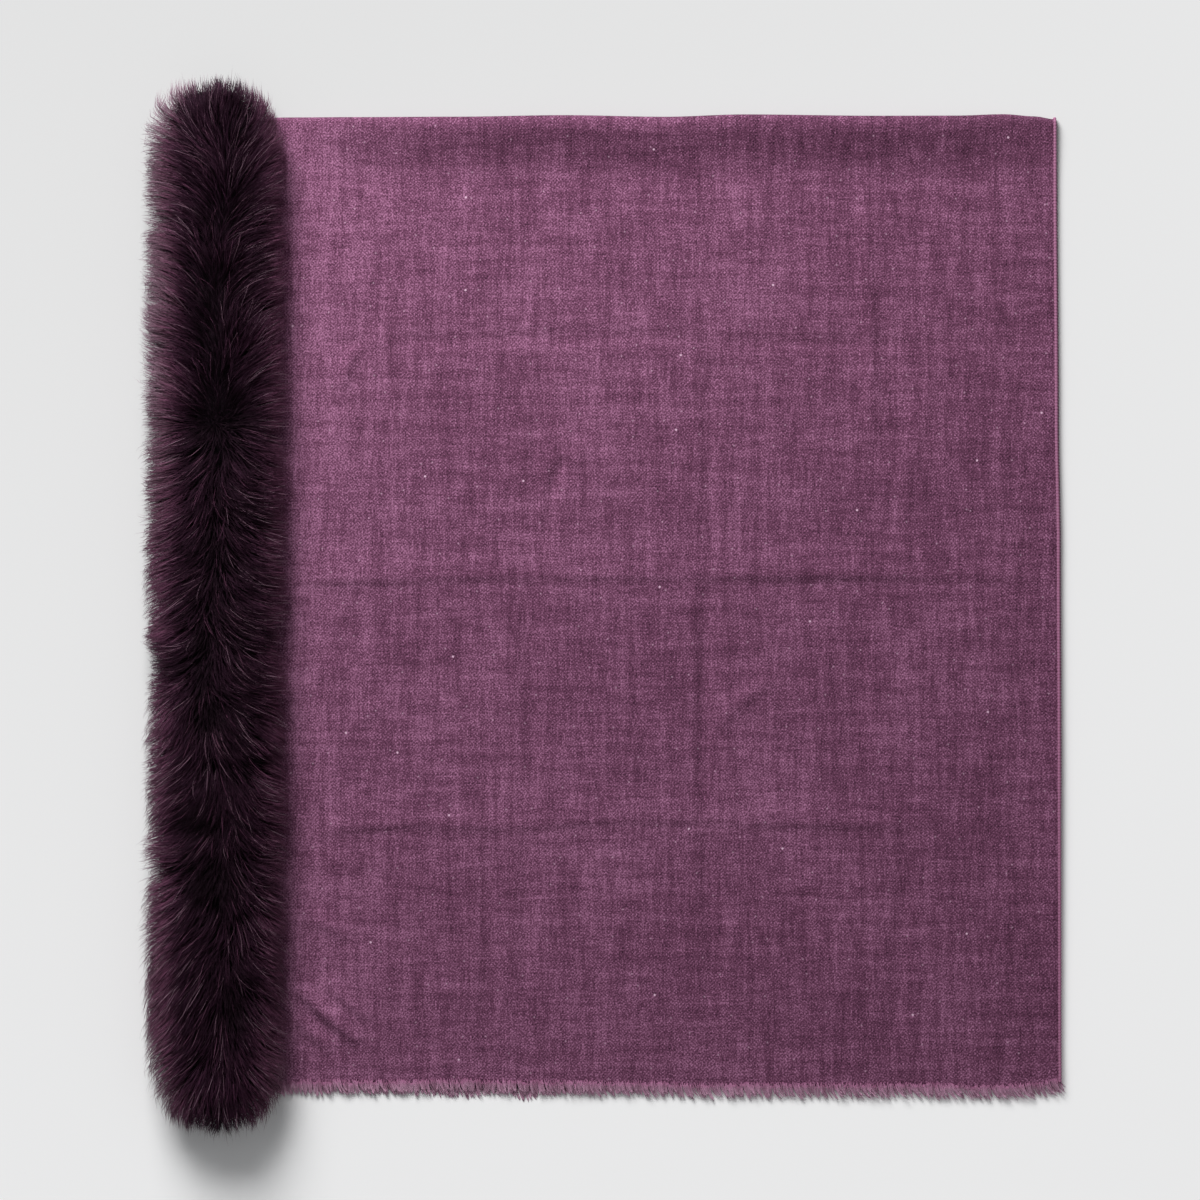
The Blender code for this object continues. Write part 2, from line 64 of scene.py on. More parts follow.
# The panel, with the places and sizes that its CAD node has.
PANEL_WIDTH = 711 * MM
FOLDED_LENGTH = 871 * MM
SEAM_X = -307 * MM
FOLD_Y = 442.4 * MM
LEAF_TOP = 4.2 * MM  # the upper leaf's face above the floor, where it lies flat
PARTED_DEPTH = 40 * MM  # how far in from the open edges the leaves are parted
HEM_EASE = 40 * MM  # how far in from the ends the wander of the hem dies out
FOLD_REACH = 57 * MM  # from the fold to where the upper leaf lies flat again
SLOPE_START = 0.06  # share of that where the crest ends
SLOPE_POWER = 0.72
HEAVE = 0.3 * MM  # slow rise and fall of the whole upper leaf
HEAVE_ACROSS = 187 * MM
HEAVE_DOWN = 241 * MM
SEAM_EASE = 24 * MM  # the seam holds the cloth flat this far in

# The fold, from the seam to the selvedge: how far it reaches past FOLD_Y and how high it swells.
FoldRow = namedtuple("FoldRow", "across reach swell")
FOLD = (
    FoldRow(0, -0.9, 0.4),
    FoldRow(30, -0.9, 2.6),
    FoldRow(75, -0.9, 6.0),
    FoldRow(170, -0.7, 8.6),
    FoldRow(268, 0.6, 9.6),
    FoldRow(358, -0.8, 9.0),
    FoldRow(430, 1.4, 8.0),
    FoldRow(547, 0.1, 9.2),
    FoldRow(620, 0.3, 8.6),
    FoldRow(662, 1.8, 5.0),
    FoldRow(692, 0.0, 2.6),
    FoldRow(711, -2.6, 1.4),
)

# The ends: how far each leaf reaches past FOLDED_LENGTH, and how far the upper one lifts there.
HemRow = namedtuple("HemRow", "across upper lower lift")
HEM = (
    HemRow(0, -1.0, -4.0, 0.2),
    HemRow(60, -1.4, -3.6, 0.9),
    HemRow(125, -1.2, -3.0, 0.1),
    HemRow(180, -2.0, 2.6, 0.6),
    HemRow(208, -1.2, -1.0, 0.2),
    HemRow(232, -0.8, 3.0, 0.1),
    HemRow(270, -0.8, -3.0, 0.8),
    HemRow(340, 0.6, -3.4, 0.3),
    HemRow(400, 1.7, -4.0, 0.2),
    HemRow(500, 1.4, -4.4, 1.1),
    HemRow(600, 1.8, -3.6, 0.4),
    HemRow(655, 3.2, -3.4, 0.6),
    HemRow(692, 0.8, -4.0, 1.0),
    HemRow(711, -3.2, -5.0, 1.2),
)

# The selvedges: how far each leaf reaches past PANEL_WIDTH, and how far the upper one lifts there.
SelvedgeRow = namedtuple("SelvedgeRow", "down upper lower lift")
SELVEDGE = (
    SelvedgeRow(0, -1.9, -1.9, 0.0),
    SelvedgeRow(45, -1.7, -0.5, 0.2),
    SelvedgeRow(270, -0.6, 0.9, 0.6),
    SelvedgeRow(390, 1.2, 2.6, 1.0),
    SelvedgeRow(600, 1.9, 3.2, 1.9),
    SelvedgeRow(680, 2.2, 1.4, 1.4),
    SelvedgeRow(780, 2.4, 0.6, 0.7),
    SelvedgeRow(871, 2.6, 0.6, 0.3),
)

# Old fold lines and creases: soft ridges, or troughs where the rise is negative, from (across_a,
# down_a) to (across_b, down_b). The flank to the left of the way from a to b is `left` wide, the
# other one `right` wide. Bow bends the line to its left.
Crease = namedtuple("Crease", "across_a down_a across_b down_b rise left right bow")
CREASES = (
    # First press line, a quarter of the way down
    Crease(50, 205, 190, 200.5, -1.5, 7, 7, 0),
    Crease(178, 201, 300, 198, -1.3, 7, 7, 0),
    Crease(288, 198, 400, 201, -0.9, 7, 7, 1),
    Crease(388, 202, 620, 203, -1.4, 7, 8, -1),
    # Second press line, half way down
    Crease(30, 417, 150, 415.5, 2.1, 20, 4.5, 0),
    Crease(138, 414, 240, 412, 1.9, 20, 4.5, 0),
    Crease(228, 412.5, 395, 412.5, 1.5, 17, 4.5, 0),
    Crease(384, 412, 612, 412, 2.6, 24, 5, 0),
    Crease(600, 412, 690, 415, 1.0, 16, 5, 0),
    # Third press line, three quarters of the way down
    Crease(50, 643, 150, 635, 2.0, 20, 5, 2),
    Crease(140, 635.5, 235, 637.5, 1.7, 18, 5, -1),
    Crease(225, 638, 330, 631, 1.6, 18, 5, 1),
    Crease(320, 632, 420, 631, 1.5, 17, 5, 0),
    Crease(410, 634, 600, 636, 1.9, 19, 5, 0),
    # Upright lines between the press lines
    Crease(236, 410, 250, 205, -1.4, 7, 8, 2),
    Crease(237, 622, 234, 418, -2.2, 7, 8, -2),
    Crease(234, 800, 235, 640, -1.8, 7, 8, 2),
    Crease(400, 405, 399, 216, -1.8, 7, 8, 2),
    Crease(391, 640, 397, 417, -3.0, 7, 9, 2),
    Crease(402, 800, 391, 642, -2.4, 7, 8, -2),
    Crease(77, 618, 75, 424, -1.5, 8, 8, 1),
    Crease(537, 80, 543, 300, 2.4, 7, 7, 2),
    Crease(527, 600, 530, 432, -1.5, 8, 8, -3),
    Crease(562, 842, 572, 644, -1.6, 8, 8, -4),
    Crease(200, 834, 202, 642, -1.4, 8, 8, 2),
    Crease(566, 368, 604, 222, 1.2, 12, 6, 2),
    # Slanting crumples
    Crease(404, 552, 458, 504, 2.0, 10, 4.5, 3),
    Crease(69, 245, 83, 206, 3.0, 6, 5, 3),
    Crease(78, 207, 130, 203, 1.6, 9, 5, 1),
    Crease(80, 548, 108, 529, 1.4, 8, 4.5, 2),
    # Pull of the trim's lower end on the cloth beside it
    Crease(26, 780, 84, 833, 4.4, 8, 5, -2),
    Crease(24, 808, 62, 840, 3.0, 7, 4.5, -2),
    Crease(52, 776, 94, 812, 2.2, 7, 4.5, -2),
    Crease(26, 718, 76, 738, 2.4, 7, 4.5, 2),
)
FINE_CREASES = (
    Crease(184, 812, 204, 700, 0.5, 8, 5, 2),
    Crease(470, 700, 520, 668, 0.5, 8, 5, 2),
    Crease(300, 556, 352, 574, 0.4, 8, 5, -2),
    Crease(269, 306, 256, 346, -3.4, 5, 5, -3),
    Crease(256, 338, 251, 384, -2.0, 6, 6, 1),
    Crease(286, 290, 268, 316, 1.6, 8, 6, 3),
    Crease(120, 330, 168, 362, 0.4, 9, 5, 2),
    Crease(300, 330, 318, 246, 0.4, 9, 5, -1),
    Crease(470, 330, 452, 262, 0.4, 9, 5, 1),
    Crease(640, 560, 668, 474, 0.5, 9, 5, 2),
    Crease(628, 790, 672, 742, 0.5, 9, 5, 2),
    Crease(40, 506, 74, 494, 0.5, 7, 5, 2),
    Crease(36, 560, 70, 566, 0.5, 7, 5, -1),
    Crease(34, 668, 82, 676, 0.6, 8, 5, 2),
    Crease(32, 836, 74, 856, 0.6, 8, 5, -2),
    Crease(310, 120, 330, 74, 0.4, 10, 6, 1),
    Crease(150, 130, 140, 70, 0.4, 10, 6, 1),
)

# Random unevenness of the laid cloth: pitch, share of the crumple's height, and seed.
CRUMPLES = ((26 * MM, 1, 3), (11 * MM, 0.5, 4))

# Where the mesh of the cloth is twice as fine, in millimetres down and across.
LEVEL_LINES = (202, 312, 414, 636, 792, 816)
UPRIGHT_LINES = (48, 76, 201, 236, 254, 396, 538, 567)
LINE_EASE = 12 * MM
FOLD_ROWS = 12

# Patterns of the twill: their sizes across and along the sheet, their noise, and their weight in
# the cloth's tone.
Pattern = namedtuple("Pattern", "across along detail roughness weight")
UPRIGHT_SLUBS = Pattern(12 * MM, 110 * MM, 4.0, 1.0, 0.76)
LEVEL_SLUBS = Pattern(100 * MM, 12 * MM, 4.0, 1.0, 0.64)
MOTTLE = Pattern(9 * MM, 10 * MM, 3.0, 0.6, 0.2)
GRAIN = Pattern(1.5 * MM, 1.5 * MM, 1.0, 0.8, 1.0)
SHADING = Pattern(120 * MM, 150 * MM, 1.0, 0.5, 0.16)
TWILL_TONE = 0.47
RIB_TONE = 0.07
FLOAT_TONE = 0.055
RIB_SLIP = 6  # radians that the mottling shifts the ribs
# Painted light: the cloth is made lighter towards the seam to stand in for the lamp's falloff across
# it.
SIDE_PAINTED_LIGHT = 0.06  # how much lighter the cloth is at the seam than at the selvedge
Relief = namedtuple("Relief", "ribs floats grain slubs strength height")
TWILL_RELIEF = Relief(0.5, 0.25, 0.9, 0.6, 0.55, 0.12 * MM)

# Scattered spots of the twill: their spacing, the shares of it where they begin and are full, and
# how strongly they show.
Spots = namedtuple("Spots", "pitch begin full share")
SPECKLES = Spots(2.3 * MM, 0.4, 0.1, 0.2)
SPECKS = Spots(37 * MM, 0.030, 0.012, 0.35)
FLECKS = Spots(150 * MM, 0.009, 0.004, 0.85)

# Bands of the twill that are lighter or darker: how far from a line each begins and is full, and its
# tone. The band by the seam is painted light that lifts the shade beside the fur, and the band by
# the fold is painted shade.
Band = namedtuple("Band", "begin full tone")
SEAM_PAINTED_LIGHT = Band(140 * MM, 0.0, 0.1)
FOLD_PAINTED_SHADE = Band(64 * MM, 26 * MM, -0.08)
SELVEDGE_BAND = Band(3.6 * MM, 1.2 * MM, 0.22)
END_BAND = Band(5 * MM, 1 * MM, 0.18)

# The rolled selvedge, with notches along it.
NOTCH = 2.8 * MM
NOTCH_DEPTH = 0.2  # as a share of its radius
# Painted light and shade of the notches: the roll's tone is lighter where it swells and darker in
# each notch.
NOTCH_PAINTED_SHADING = 0.42
RINGS_TO_A_NOTCH = 3
ROLL_WIDTH = 1.15  # its width, as a share of its height

# Sideways stray of the frayed ends for each length of them, towards the selvedge.
LEAN_PLACES = (0, 200 * MM, 380 * MM, 560 * MM, 690 * MM, 711 * MM)
LEANS = (0.2, 0.24, 0.42, 0.54, 0.64, 0.7)
STRAY_POWER = 1.9  # how late on its way a frayed yarn strays
YARN_SCATTER = 0.3  # by chance, each way, as a share of the pitch
CLUMP_WIDTHS = (1.8 * MM, 6 * MM)
CLUMP_LENGTHS = (0.74, 1.1)  # shares of the usual length, and of the clump's for each yarn
YARN_LENGTHS = (0.8, 1.1)
CLUMP_LEAN = 0.16  # spread of a clump's stray by chance
CLUMP_DRAW = (0.35, 0.85)  # how far the tips of a clump are drawn together
CLUMP_RISES = (0, 0.9)  # millimetres
CLUMP_TONE = 0.75  # the clump's share of a yarn's tone
YARN_WIDTHS = (0.8, 1.1)
YARN_STATIONS = np.array([0, 0.2, 0.42, 0.64, 0.84, 1])
YARN_TAPER = np.array([1, 1, 1, 0.95, 0.8])
FIBRE_STATIONS = np.array([0, 0.35, 0.7, 1])
FIBRE_TAPER = np.array([1, 0.9, 0.7])
FIBRE_RADIUS = 0.32 * MM
FIBRES = 6  # fibres in a wisp
FIBRE_SCATTER = 0.5 * MM
WISP_LENGTHS = (0.6, 1.12)
FIBRE_LENGTHS = (0.85, 1.05)
WISP_LEAN = (0.1, 0.3)  # its middle and spread
LEAN_LIMITS = (-0.5, 1.1)
WISP_RISES = (0.5, 2.2)  # millimetres
FIBRE_RISES = (0, 0.4)
FIBRE_DEPTHS = (0.5, 1)
FIBRE_WIDTHS = (0.7, 1.2)
WISP_TONES = (0.9, 1)
ROOT_DEPTHS = (0.5 * MM, 5 * MM)  # how far inside the cloth's end the yarns begin
ROOT_RISE = 0.25 * MM  # and how far above its face
UPPER_TIPS = 1.8 * MM  # height of the frayed tips of the upper leaf
LOWER_TIPS = 0.35 * MM
LOWER_RISE = 0.3  # share of the upper leaf's rises that the lower one has
UPPER_SEED = 5
LOWER_SEED = 7

# The fur roll, with the sizes that its CAD node has. Reaches are from its axis, crown and belly
# above and below it.
FUR_AXIS_X = -344.8 * MM
FUR_AXIS_Z = 24 * MM
FUR_TOP_Y = 470 * MM
FurRow = namedtuple("FurRow", "along left right crown belly")
FUR = (
    FurRow(0, 16, 10, 8, 7),
    FurRow(4, 34, 18, 17, 13),
    FurRow(9, 43, 22, 23, 17),
    FurRow(17, 51, 29, 28, 20),
    FurRow(27, 58, 37, 32, 22),
    FurRow(40, 62, 45, 34.5, 24),
    FurRow(58, 63, 54, 36, 24),
    FurRow(86, 62, 61, 37, 24),
    FurRow(200, 63, 63, 37, 24),
    FurRow(290, 62, 62, 32, 24),
    FurRow(380, 63, 62, 37, 24),
    FurRow(560, 62, 63, 38, 24),
    FurRow(680, 62, 65, 32, 24),
    FurRow(790, 63, 64, 37, 24),
    FurRow(876, 61, 64, 36, 24),
    FurRow(895, 56, 57, 34.5, 24),
    FurRow(912, 49, 46, 31, 22),
    FurRow(922, 42, 38, 28, 20),
    FurRow(931, 32, 29, 23, 17),
    FurRow(937, 20, 21, 17, 13),
    FurRow(940, 10, 11, 8, 7),
)
FUR_LENGTH = FUR[-1].along * MM
FUR_POWER = 2.3  # power of the section's super-ellipse: 2 is round
FUR_FOOT = 0.74  # half width of the flat underside, as a share of the roll's
FULL_COAT = 62 * MM  # usual reach of the roll to its sides
CROWN = 37 * MM  # and upwards
HALF_COAT = 58 * MM  # half the coat's width as the hair goes, and way over it for each radian

# The skin, drawn in from the roll.
TOP_INSET = 6 * MM  # how far it stays back at the roll's top end
LOW_INSET = 13 * MM  # and at its lower end
RIGHT_INSET = 12 * MM  # how much further it stays back on the cloth's side
SKIN_CLOSING = 8 * MM  # length over which its ends close
SKIN_CLOSED = 0.02  # square of the share of its width that an end keeps
SKIN_LIFT = 1.5 * MM  # how far it stays above the roll's underside
SKIN_SIDES = 48
SKIN_ROWS = 120
SKIN_CAP = np.array([0, 0.5, 1.5, 3, 5, 7.5]) * MM  # rows of points at each end
CAP_LENGTH = 10 * MM
RESTING = 4 * MM  # below this the skin is smooth
TUFT = 7 * MM  # spacing of the underfur's tufts
TUFT_HEIGHT = 1.2 * MM
TUFT_SEED = 21
LEAST = 1 * MM  # least reach of a section

# Where the hair parts, aside from the roll's axis, and how many degrees the hair turns away from
# the roll's length by the time it reaches each flank.
PartingRow = namedtuple("PartingRow", "along aside left right")
PARTING = (
    PartingRow(0, 0, 90, 90),
    PartingRow(120, 3, 88, 80),
    PartingRow(220, -6, 84, 70),
    PartingRow(308, -3, 88, 84),
    PartingRow(400, -1, 80, 82),
    PartingRow(462, -7, 84, 86),
    PartingRow(540, -10, 96, 94),
    PartingRow(566, -10, 62, 58),
    PartingRow(660, 2, 58, 70),
    PartingRow(740, 4, 50, 60),
    PartingRow(820, 6, 46, 56),
    PartingRow(940, 0, 45, 48),
)
WHORL_ALONG = 306 * MM  # above it the hair sweeps to the top end, below it to the lower end
WHORL_EASE = 14 * MM
PARTING_WANDER = 7 * MM
PARTING_PITCH = 34 * MM
PARTING_SEED = 52
OPENING = 0.55  # how fast the hair turns outwards away from the parting: 1 is evenly
FAN_TOP = 74 * MM  # the hair fans out from here to the top end
FAN_LOW = FUR_LENGTH - 96 * MM  # and from here to the lower end
FAN_EASE = 50 * MM
END_STRAIGHT = 0.85  # how far the hair at both ends stands out instead of bending down

# Hollows where the hair lies apart and is shorter, darkened with painted shade, at (along, aside),
# with their half sizes and depth.
Hollow = namedtuple("Hollow", "along aside half_along half_aside depth")
HOLLOWS = (
    Hollow(236, -4, 60, 7, 0.6),
    Hollow(306, -3, 12, 12, 1.0),
    Hollow(400, -2, 60, 5, 0.5),
    Hollow(500, -10, 44, 5, 0.8),
    Hollow(520, -34, 26, 18, 0.5),
    Hollow(556, -9, 14, 9, 1.0),
    Hollow(650, -14, 14, 22, 0.7),
    Hollow(704, -2, 22, 14, 0.9),
    Hollow(818, 11, 14, 6, 1.0),
)

# The two kinds of hair: length and thickness as shares of the usual ones, how the thickness goes
# from the root, each step's share of the length, and how far the step goes straight out.
HairKind = namedtuple("HairKind", "long thick taper shares stands")
SOFT_HAIR = HairKind(1, 1, (0.8, 1, 0.72), (0.3, 0.34, 0.36), (0.8, 0.38, 0.1))
GUARD_HAIR = HairKind(
    1.16, 0.64, (0.7, 1, 0.9, 0.6), (0.25, 0.25, 0.25, 0.25), (0.78, 0.42, 0.2, 0.1)
)
STRETCHES = 4  # pieces that the coat is made in
FLANK_STAND = 0.12  # how much straighter out a hair on a flank goes, as a share of the rest
COAT_LOW_ANGLE = 0.55  # the hair's roots go this far below the roll's widest places
COAT_SEED = 31
SWAYS = ((46 * MM, 0.26, 40), (17 * MM, 0.18, 41))  # the hair's wandering: pitch, radians, seed
LOCK_LENGTHS = (0.93, 1.07)  # by chance, as shares of the usual length
HAIR_LENGTHS = (0.7, 1.1)  # and each hair's, as shares of its lock's
TOP_SHORT = (0.55, 0.88)  # how much shorter the hair is at the skin's top end
LOW_SHORT = (0.42, 0.7)  # and at its lower end
HAIR_WIDTHS = (0.75, 1.15)
DRAWN = (0.5, 1.15)  # how far each hair is drawn together with its lock, by chance
LOCK_TURN = 0.07  # radians that each lock turns by chance
HAIR_TURN = 0.1  # and each hair, which at the roll's ends is END_RUFFLE times as much
END_RUFFLE = 2.4
CURL = 0.12  # radians that a hair bends at each step, at most
CURL_PITCH = 30 * MM
CURL_SEED = 44
ROUND_SPREAD = 1.4  # width of a lock round the roll, as a share of that along it
CLUMPING = 0.4  # how far the tips of a lock are drawn together
CLUMPING_POWER = 1.3
LOOSE_FLANK = 0.75  # share of that which the hair on the flanks loses
LOOSE_END = 0.75  # and at the roll's ends
END_HAIR = 34 * MM  # the hair grows shorter this near the skin's ends
HOLLOW_SHORT = 0.4  # how much shorter the hair is in a hollow
CLOTH_SHORT = 0.38  # and, at most, on the cloth's side
CLEARANCE = 0.4 * MM  # of the hair from what lies below it
PAST_SEAM = 1 * MM  # how far past the cloth's edges the hair is still held above it
PAST_FOLD = 2 * MM
PAST_END = 8 * MM

# Tone of the hair, from dark to pale, and what is added to it in places: painted light on the outer
# flank, on the cloth's side and at both ends, and painted shade in the middle and in the hollows.
HAIR_TONE = 0.37
FLANK_PAINTED_LIGHT = 0.5
EDGE_PAINTED_LIGHT = 0.22
MIDDLE_PAINTED_SHADE = -0.08
HOLLOW_PAINTED_SHADE = -0.3
LOW_END_PAINTED_LIGHT = 0.13
TOP_END_PAINTED_LIGHT = 0.1
LOCK_TONES = 0.035  # spread by chance, from lock to lock
HAIR_TONES = 0.03  # and from hair to hair
BRIGHT_GUARDS = 0.45  # share of the guard hairs that are pale
BRIGHT_TONES = (0.25, 0.65)
GUARD_TONE = 0.05
# The hollows' painted shade takes this share of a guard hair's paler tone.
GUARD_HOLLOW_PAINTED_SHADE = 0.6  # share of a guard hair's tone that a hollow takes

# The stage.
FLOOR_HALF = 6.0
FLOOR_CORNERS = ((-1, -1), (1, -1), (1, 1), (-1, 1))
SKY = (0.97, 0.98, 1.0)
LAMP_SIZE = 1.3
CAMERA_X = -7.2 * MM  # the camera looks straight down at the middle of the photo
CAMERA_Y = 7.65 * MM


def linear(red, green, blue):
    """A colour of 8-bit sRGB shares, as the linear numbers that shaders use."""
    share = np.array([red, green, blue]) / 255
    return tuple(np.where(share > 0.04045, ((share + 0.055) / 1.055) ** 2.4, share / 12.92))


def size_property(name, description, default):
    """A length in metres."""
    return FloatProperty(
        name=name, description=description, default=default, unit="LENGTH", precision=5, min=0
    )


def colour_property(name, description, *default):
    """A colour, from 8-bit sRGB shares."""
    return FloatVectorProperty(
        name=name, description=description, default=linear(*default), subtype="COLOR", min=0, max=1
    )


class ClothSettings(bpy.types.PropertyGroup):
    """Sizes and colours of the twill and its selvedges"""

    thickness: size_property("Thickness", "Thickness of the twill", 1.2 * MM)
    cell: size_property("Mesh cell", "Spacing of the cloth's points", 4.8 * MM)
    crumple: size_property("Crumple", "Height of the fine unevenness of the laid cloth", 0.16 * MM)
    wale: size_property("Wale", "Spacing of the twill's slanting ribs, measured across", 3.3 * MM)
    yarn: size_property("Float", "Spacing of the yarn floats along a rib", 3.2 * MM)
    deep: colour_property("Deep colour", "Cloth between the ribs", 46, 19, 37)
    middle: colour_property("Colour", "Cloth's own colour", 101, 58, 84)
    pale: colour_property("Pale colour", "Tops of the ribs and slubs", 168, 114, 148)
    fleck: colour_property("Fleck colour", "Scattered pale flecks", 214, 178, 200)
    selvedge: colour_property("Selvedge colour", "Rolled selvedge", 164, 112, 142)
    selvedge_radius: size_property("Selvedge", "Half thickness of the rolled selvedge", 1.25 * MM)
    loops: IntProperty(name="Loop sides", description="Sides of the selvedge's roll", default=6)


class FringeSettings(bpy.types.PropertyGroup):
    """Sizes and colours of the frayed ends"""

    pitch: size_property("Pitch", "Spacing of the frayed yarns", 0.66 * MM)
    radius: size_property("Radius", "Half thickness of a yarn end", 0.4 * MM)
    length: size_property("Length", "Usual length of the frayed ends", 11 * MM)
    wisps: IntProperty(name="Wisps", description="Pale wisps of fibres at each end", default=240)
    root: colour_property("Root colour", "Frayed yarns where they leave the cloth", 148, 94, 127)
    # The tips' paleness is partly the frayed fibres' own paler colour and partly painted light,
    # lifting the shade where they sink towards the floor.
    tip: colour_property("Tip colour", "Frayed yarns at their tips", 255, 206, 233)


class FurSettings(bpy.types.PropertyGroup):
    """Sizes and colours of the fur"""

    locks: IntProperty(name="Locks", description="Number of locks of hair", default=1900, min=4)
    hairs: IntProperty(name="Hairs", description="Soft hairs in each lock", default=17, min=1)
    guards: IntProperty(name="Guard hairs", description="Long hairs in each lock", default=3, min=1)
    length: size_property("Hair length", "Usual length of the soft hair", 38 * MM)
    radius: size_property("Hair radius", "Half thickness of a soft hair", 0.3 * MM)
    inset: size_property("Coat depth", "Depth of the skin under the coat's surface", 16 * MM)
    lock_width: size_property("Lock width", "Width of a lock at its root", 12 * MM)
    dark: colour_property("Dark colour", "Hair near the skin", 21, 8, 18)
    middle: colour_property("Colour", "Soft hair", 58, 29, 49)
    # The plum and warm colours are where the painted light on the cloth's side and on the outer
    # flank takes the hair's tone.
    plum: colour_property("Plum colour", "Hair that lies over the cloth", 128, 78, 106)
    warm: colour_property("Warm colour", "Brownish hair on the outer flank", 116, 78, 97)
    pale: colour_property("Guard colour", "Tips of the long guard hairs", 176, 142, 160)


class StageSettings(bpy.types.PropertyGroup):
    """The floor, the lights and the camera"""

    floor: colour_property("Floor", "Colour of the floor", 250, 250, 250)
    level: FloatProperty(
        name="Floor level", description="Share of its colour in the middle", default=0.785
    )
    key: FloatProperty(
        name="Key light", description="Power of the key light", default=100, unit="POWER"
    )
    place: FloatVectorProperty(
        name="Key place", description="Where the key light stands", default=(-0.72, 1.93, 1.5),
        subtype="XYZ", unit="LENGTH",
    )
    fill: FloatProperty(name="Fill", description="Strength of the light all round", default=0.22)
    fill_share: FloatProperty(
        name="Fill share", description="Fill's share of the light", default=0.21
    )
    height: size_property("Camera height", "Height of the camera above the floor", 3.0)
    view: size_property("View width", "Width of floor that the picture shows", 1.08)


class Signal:
    """One output of a shader node. Arithmetic on numbers adds Math nodes."""

    def __init__(self, finish, socket):
        self.finish = finish
        self.socket = socket

    def math(self, operation, *operands):
        settings = {"operation": operation}
        return self.finish.node("ShaderNodeMath", settings, dict(enumerate(operands)))

    def __add__(self, other):
        return self.math("ADD", self, other)

    __radd__ = __add__

    def __sub__(self, other):
        return self.math("SUBTRACT", self, other)

    def __rsub__(self, other):
        return self.math("SUBTRACT", other, self)

    def __mul__(self, other):
        return self.math("MULTIPLY", self, other)

    __rmul__ = __mul__

    def __truediv__(self, other):
        return self.math("DIVIDE", self, other)

    def __rtruediv__(self, other):
        return self.math("DIVIDE", other, self)

    def __pow__(self, other):
        return self.math("POWER", self, other)

    def sine(self):
        return self.math("SINE", self)

    def at_least(self, least):
        return self.math("MAXIMUM", self, least)


class Finish:
    """A material's node tree, with a Principled shader at its end."""

    def __init__(self, name, constants):
        self.material = bpy.data.materials.new(name)
        self.material.use_nodes = True
        self.tree = self.material.node_tree
        self.shader = self.tree.nodes["Principled BSDF"]
        for socket, value in constants.items():
            self.shader.inputs[socket].default_value = value

    def feed(self, socket, value):
        if isinstance(value, Signal):
            self.tree.links.new(value.socket, socket)
        else:
            socket.default_value = value

    def node(self, kind, settings, values, output=0):
        """Adds a node: its settings first, a ramp's stops among them, then its sockets."""
        node = self.tree.nodes.new(kind)
        for name, value in settings.items():
            if name == "stops":
                self.set_stops(node.color_ramp.elements, value)
            else:
                setattr(node, name, value)
        for socket, value in values.items():
            self.feed(node.inputs[socket], value)
        return Signal(self, node.outputs[output])

    def set_stops(self, elements, stops):
        while len(elements) < len(stops):
            elements.new(1)
        for element, (position, colour) in zip(elements, stops):
            element.position = position
            element.color = (*colour, 1)

    def first_two(self, vector):
        """The first two numbers of a vector."""
        first = self.node("ShaderNodeSeparateXYZ", {}, {0: vector})
        return first, Signal(self, first.socket.node.outputs[1])

    def map(self, name):
        """The two numbers of a UV map."""
        return self.first_two(self.node("ShaderNodeUVMap", {"uv_map": name}, {}))

    def place(self):
        """Place on the piece, in metres."""
        return self.node("ShaderNodeTexCoord", {}, {}, output="Object")

    def noise(self, x, y, detail=2.0, roughness=0.5):
        """Noise from 0 to 1 that changes over about one unit of x and of y."""
        place = self.node("ShaderNodeCombineXYZ", {}, {0: x, 1: y})
        values = {"Vector": place, "Scale": 1.0, "Detail": detail, "Roughness": roughness}
        return self.node("ShaderNodeTexNoise", {"noise_dimensions": "2D"}, values)

    def pattern(self, kind, across, along):
        """Noise of a kind of pattern, from 0 to 1."""
        return self.noise(across / kind.across, along / kind.along, kind.detail, kind.roughness)

    def spots(self, kind, x, y):
        """Scattered round spots: the kind's share at their middles, 0 outside."""
        distance = self.cells(x / kind.pitch, y / kind.pitch)
        return self.step(distance, kind.begin, kind.full) * kind.share

    def cells(self, x, y):
        """Distance to the nearest of scattered points, about one for each unit square."""
        place = self.node("ShaderNodeCombineXYZ", {}, {0: x, 1: y})
        settings = {"voronoi_dimensions": "2D", "feature": "F1"}
        return self.node("ShaderNodeTexVoronoi", settings, {"Vector": place, "Scale": 1.0})

    def step(self, value, low, high):
        """Smooth step from 0 at low to 1 at high."""
        settings = {"interpolation_type": "SMOOTHSTEP"}
        ends = {"Value": value, "From Min": low, "From Max": high}
        return self.node("ShaderNodeMapRange", settings, ends)

    def ramp(self, value, stops):
        return self.node("ShaderNodeValToRGB", {"stops": stops}, {0: value})

    def mix(self, share, first, second, blend_type="MIX"):
        """Mix of two colours."""
        settings = {"data_type": "RGBA", "blend_type": blend_type}
        values = {0: share, MIX_FIRST: first, MIX_SECOND: second}
        return self.node("ShaderNodeMix", settings, values, output=MIX_RESULT)

    def bump(self, height, strength, distance):
        values = {"Height": height, "Strength": strength, "Distance": distance}
        normal = self.node("ShaderNodeBump", {}, values)
        self.feed(self.shader.inputs["Normal"], normal)

    def colour(self, value):
        self.feed(self.shader.inputs["Base Color"], value)


def ease(t):
    """Smooth step from 0 to 1 as t goes from 0 to 1."""
    t = np.clip(t, 0, 1)
    return t * t * (3 - 2 * t)


def onset(place, start, length):
    """Smooth step from 0 at the start to 1 a length past it. A negative length goes back."""
    return ease((place - start) / length)


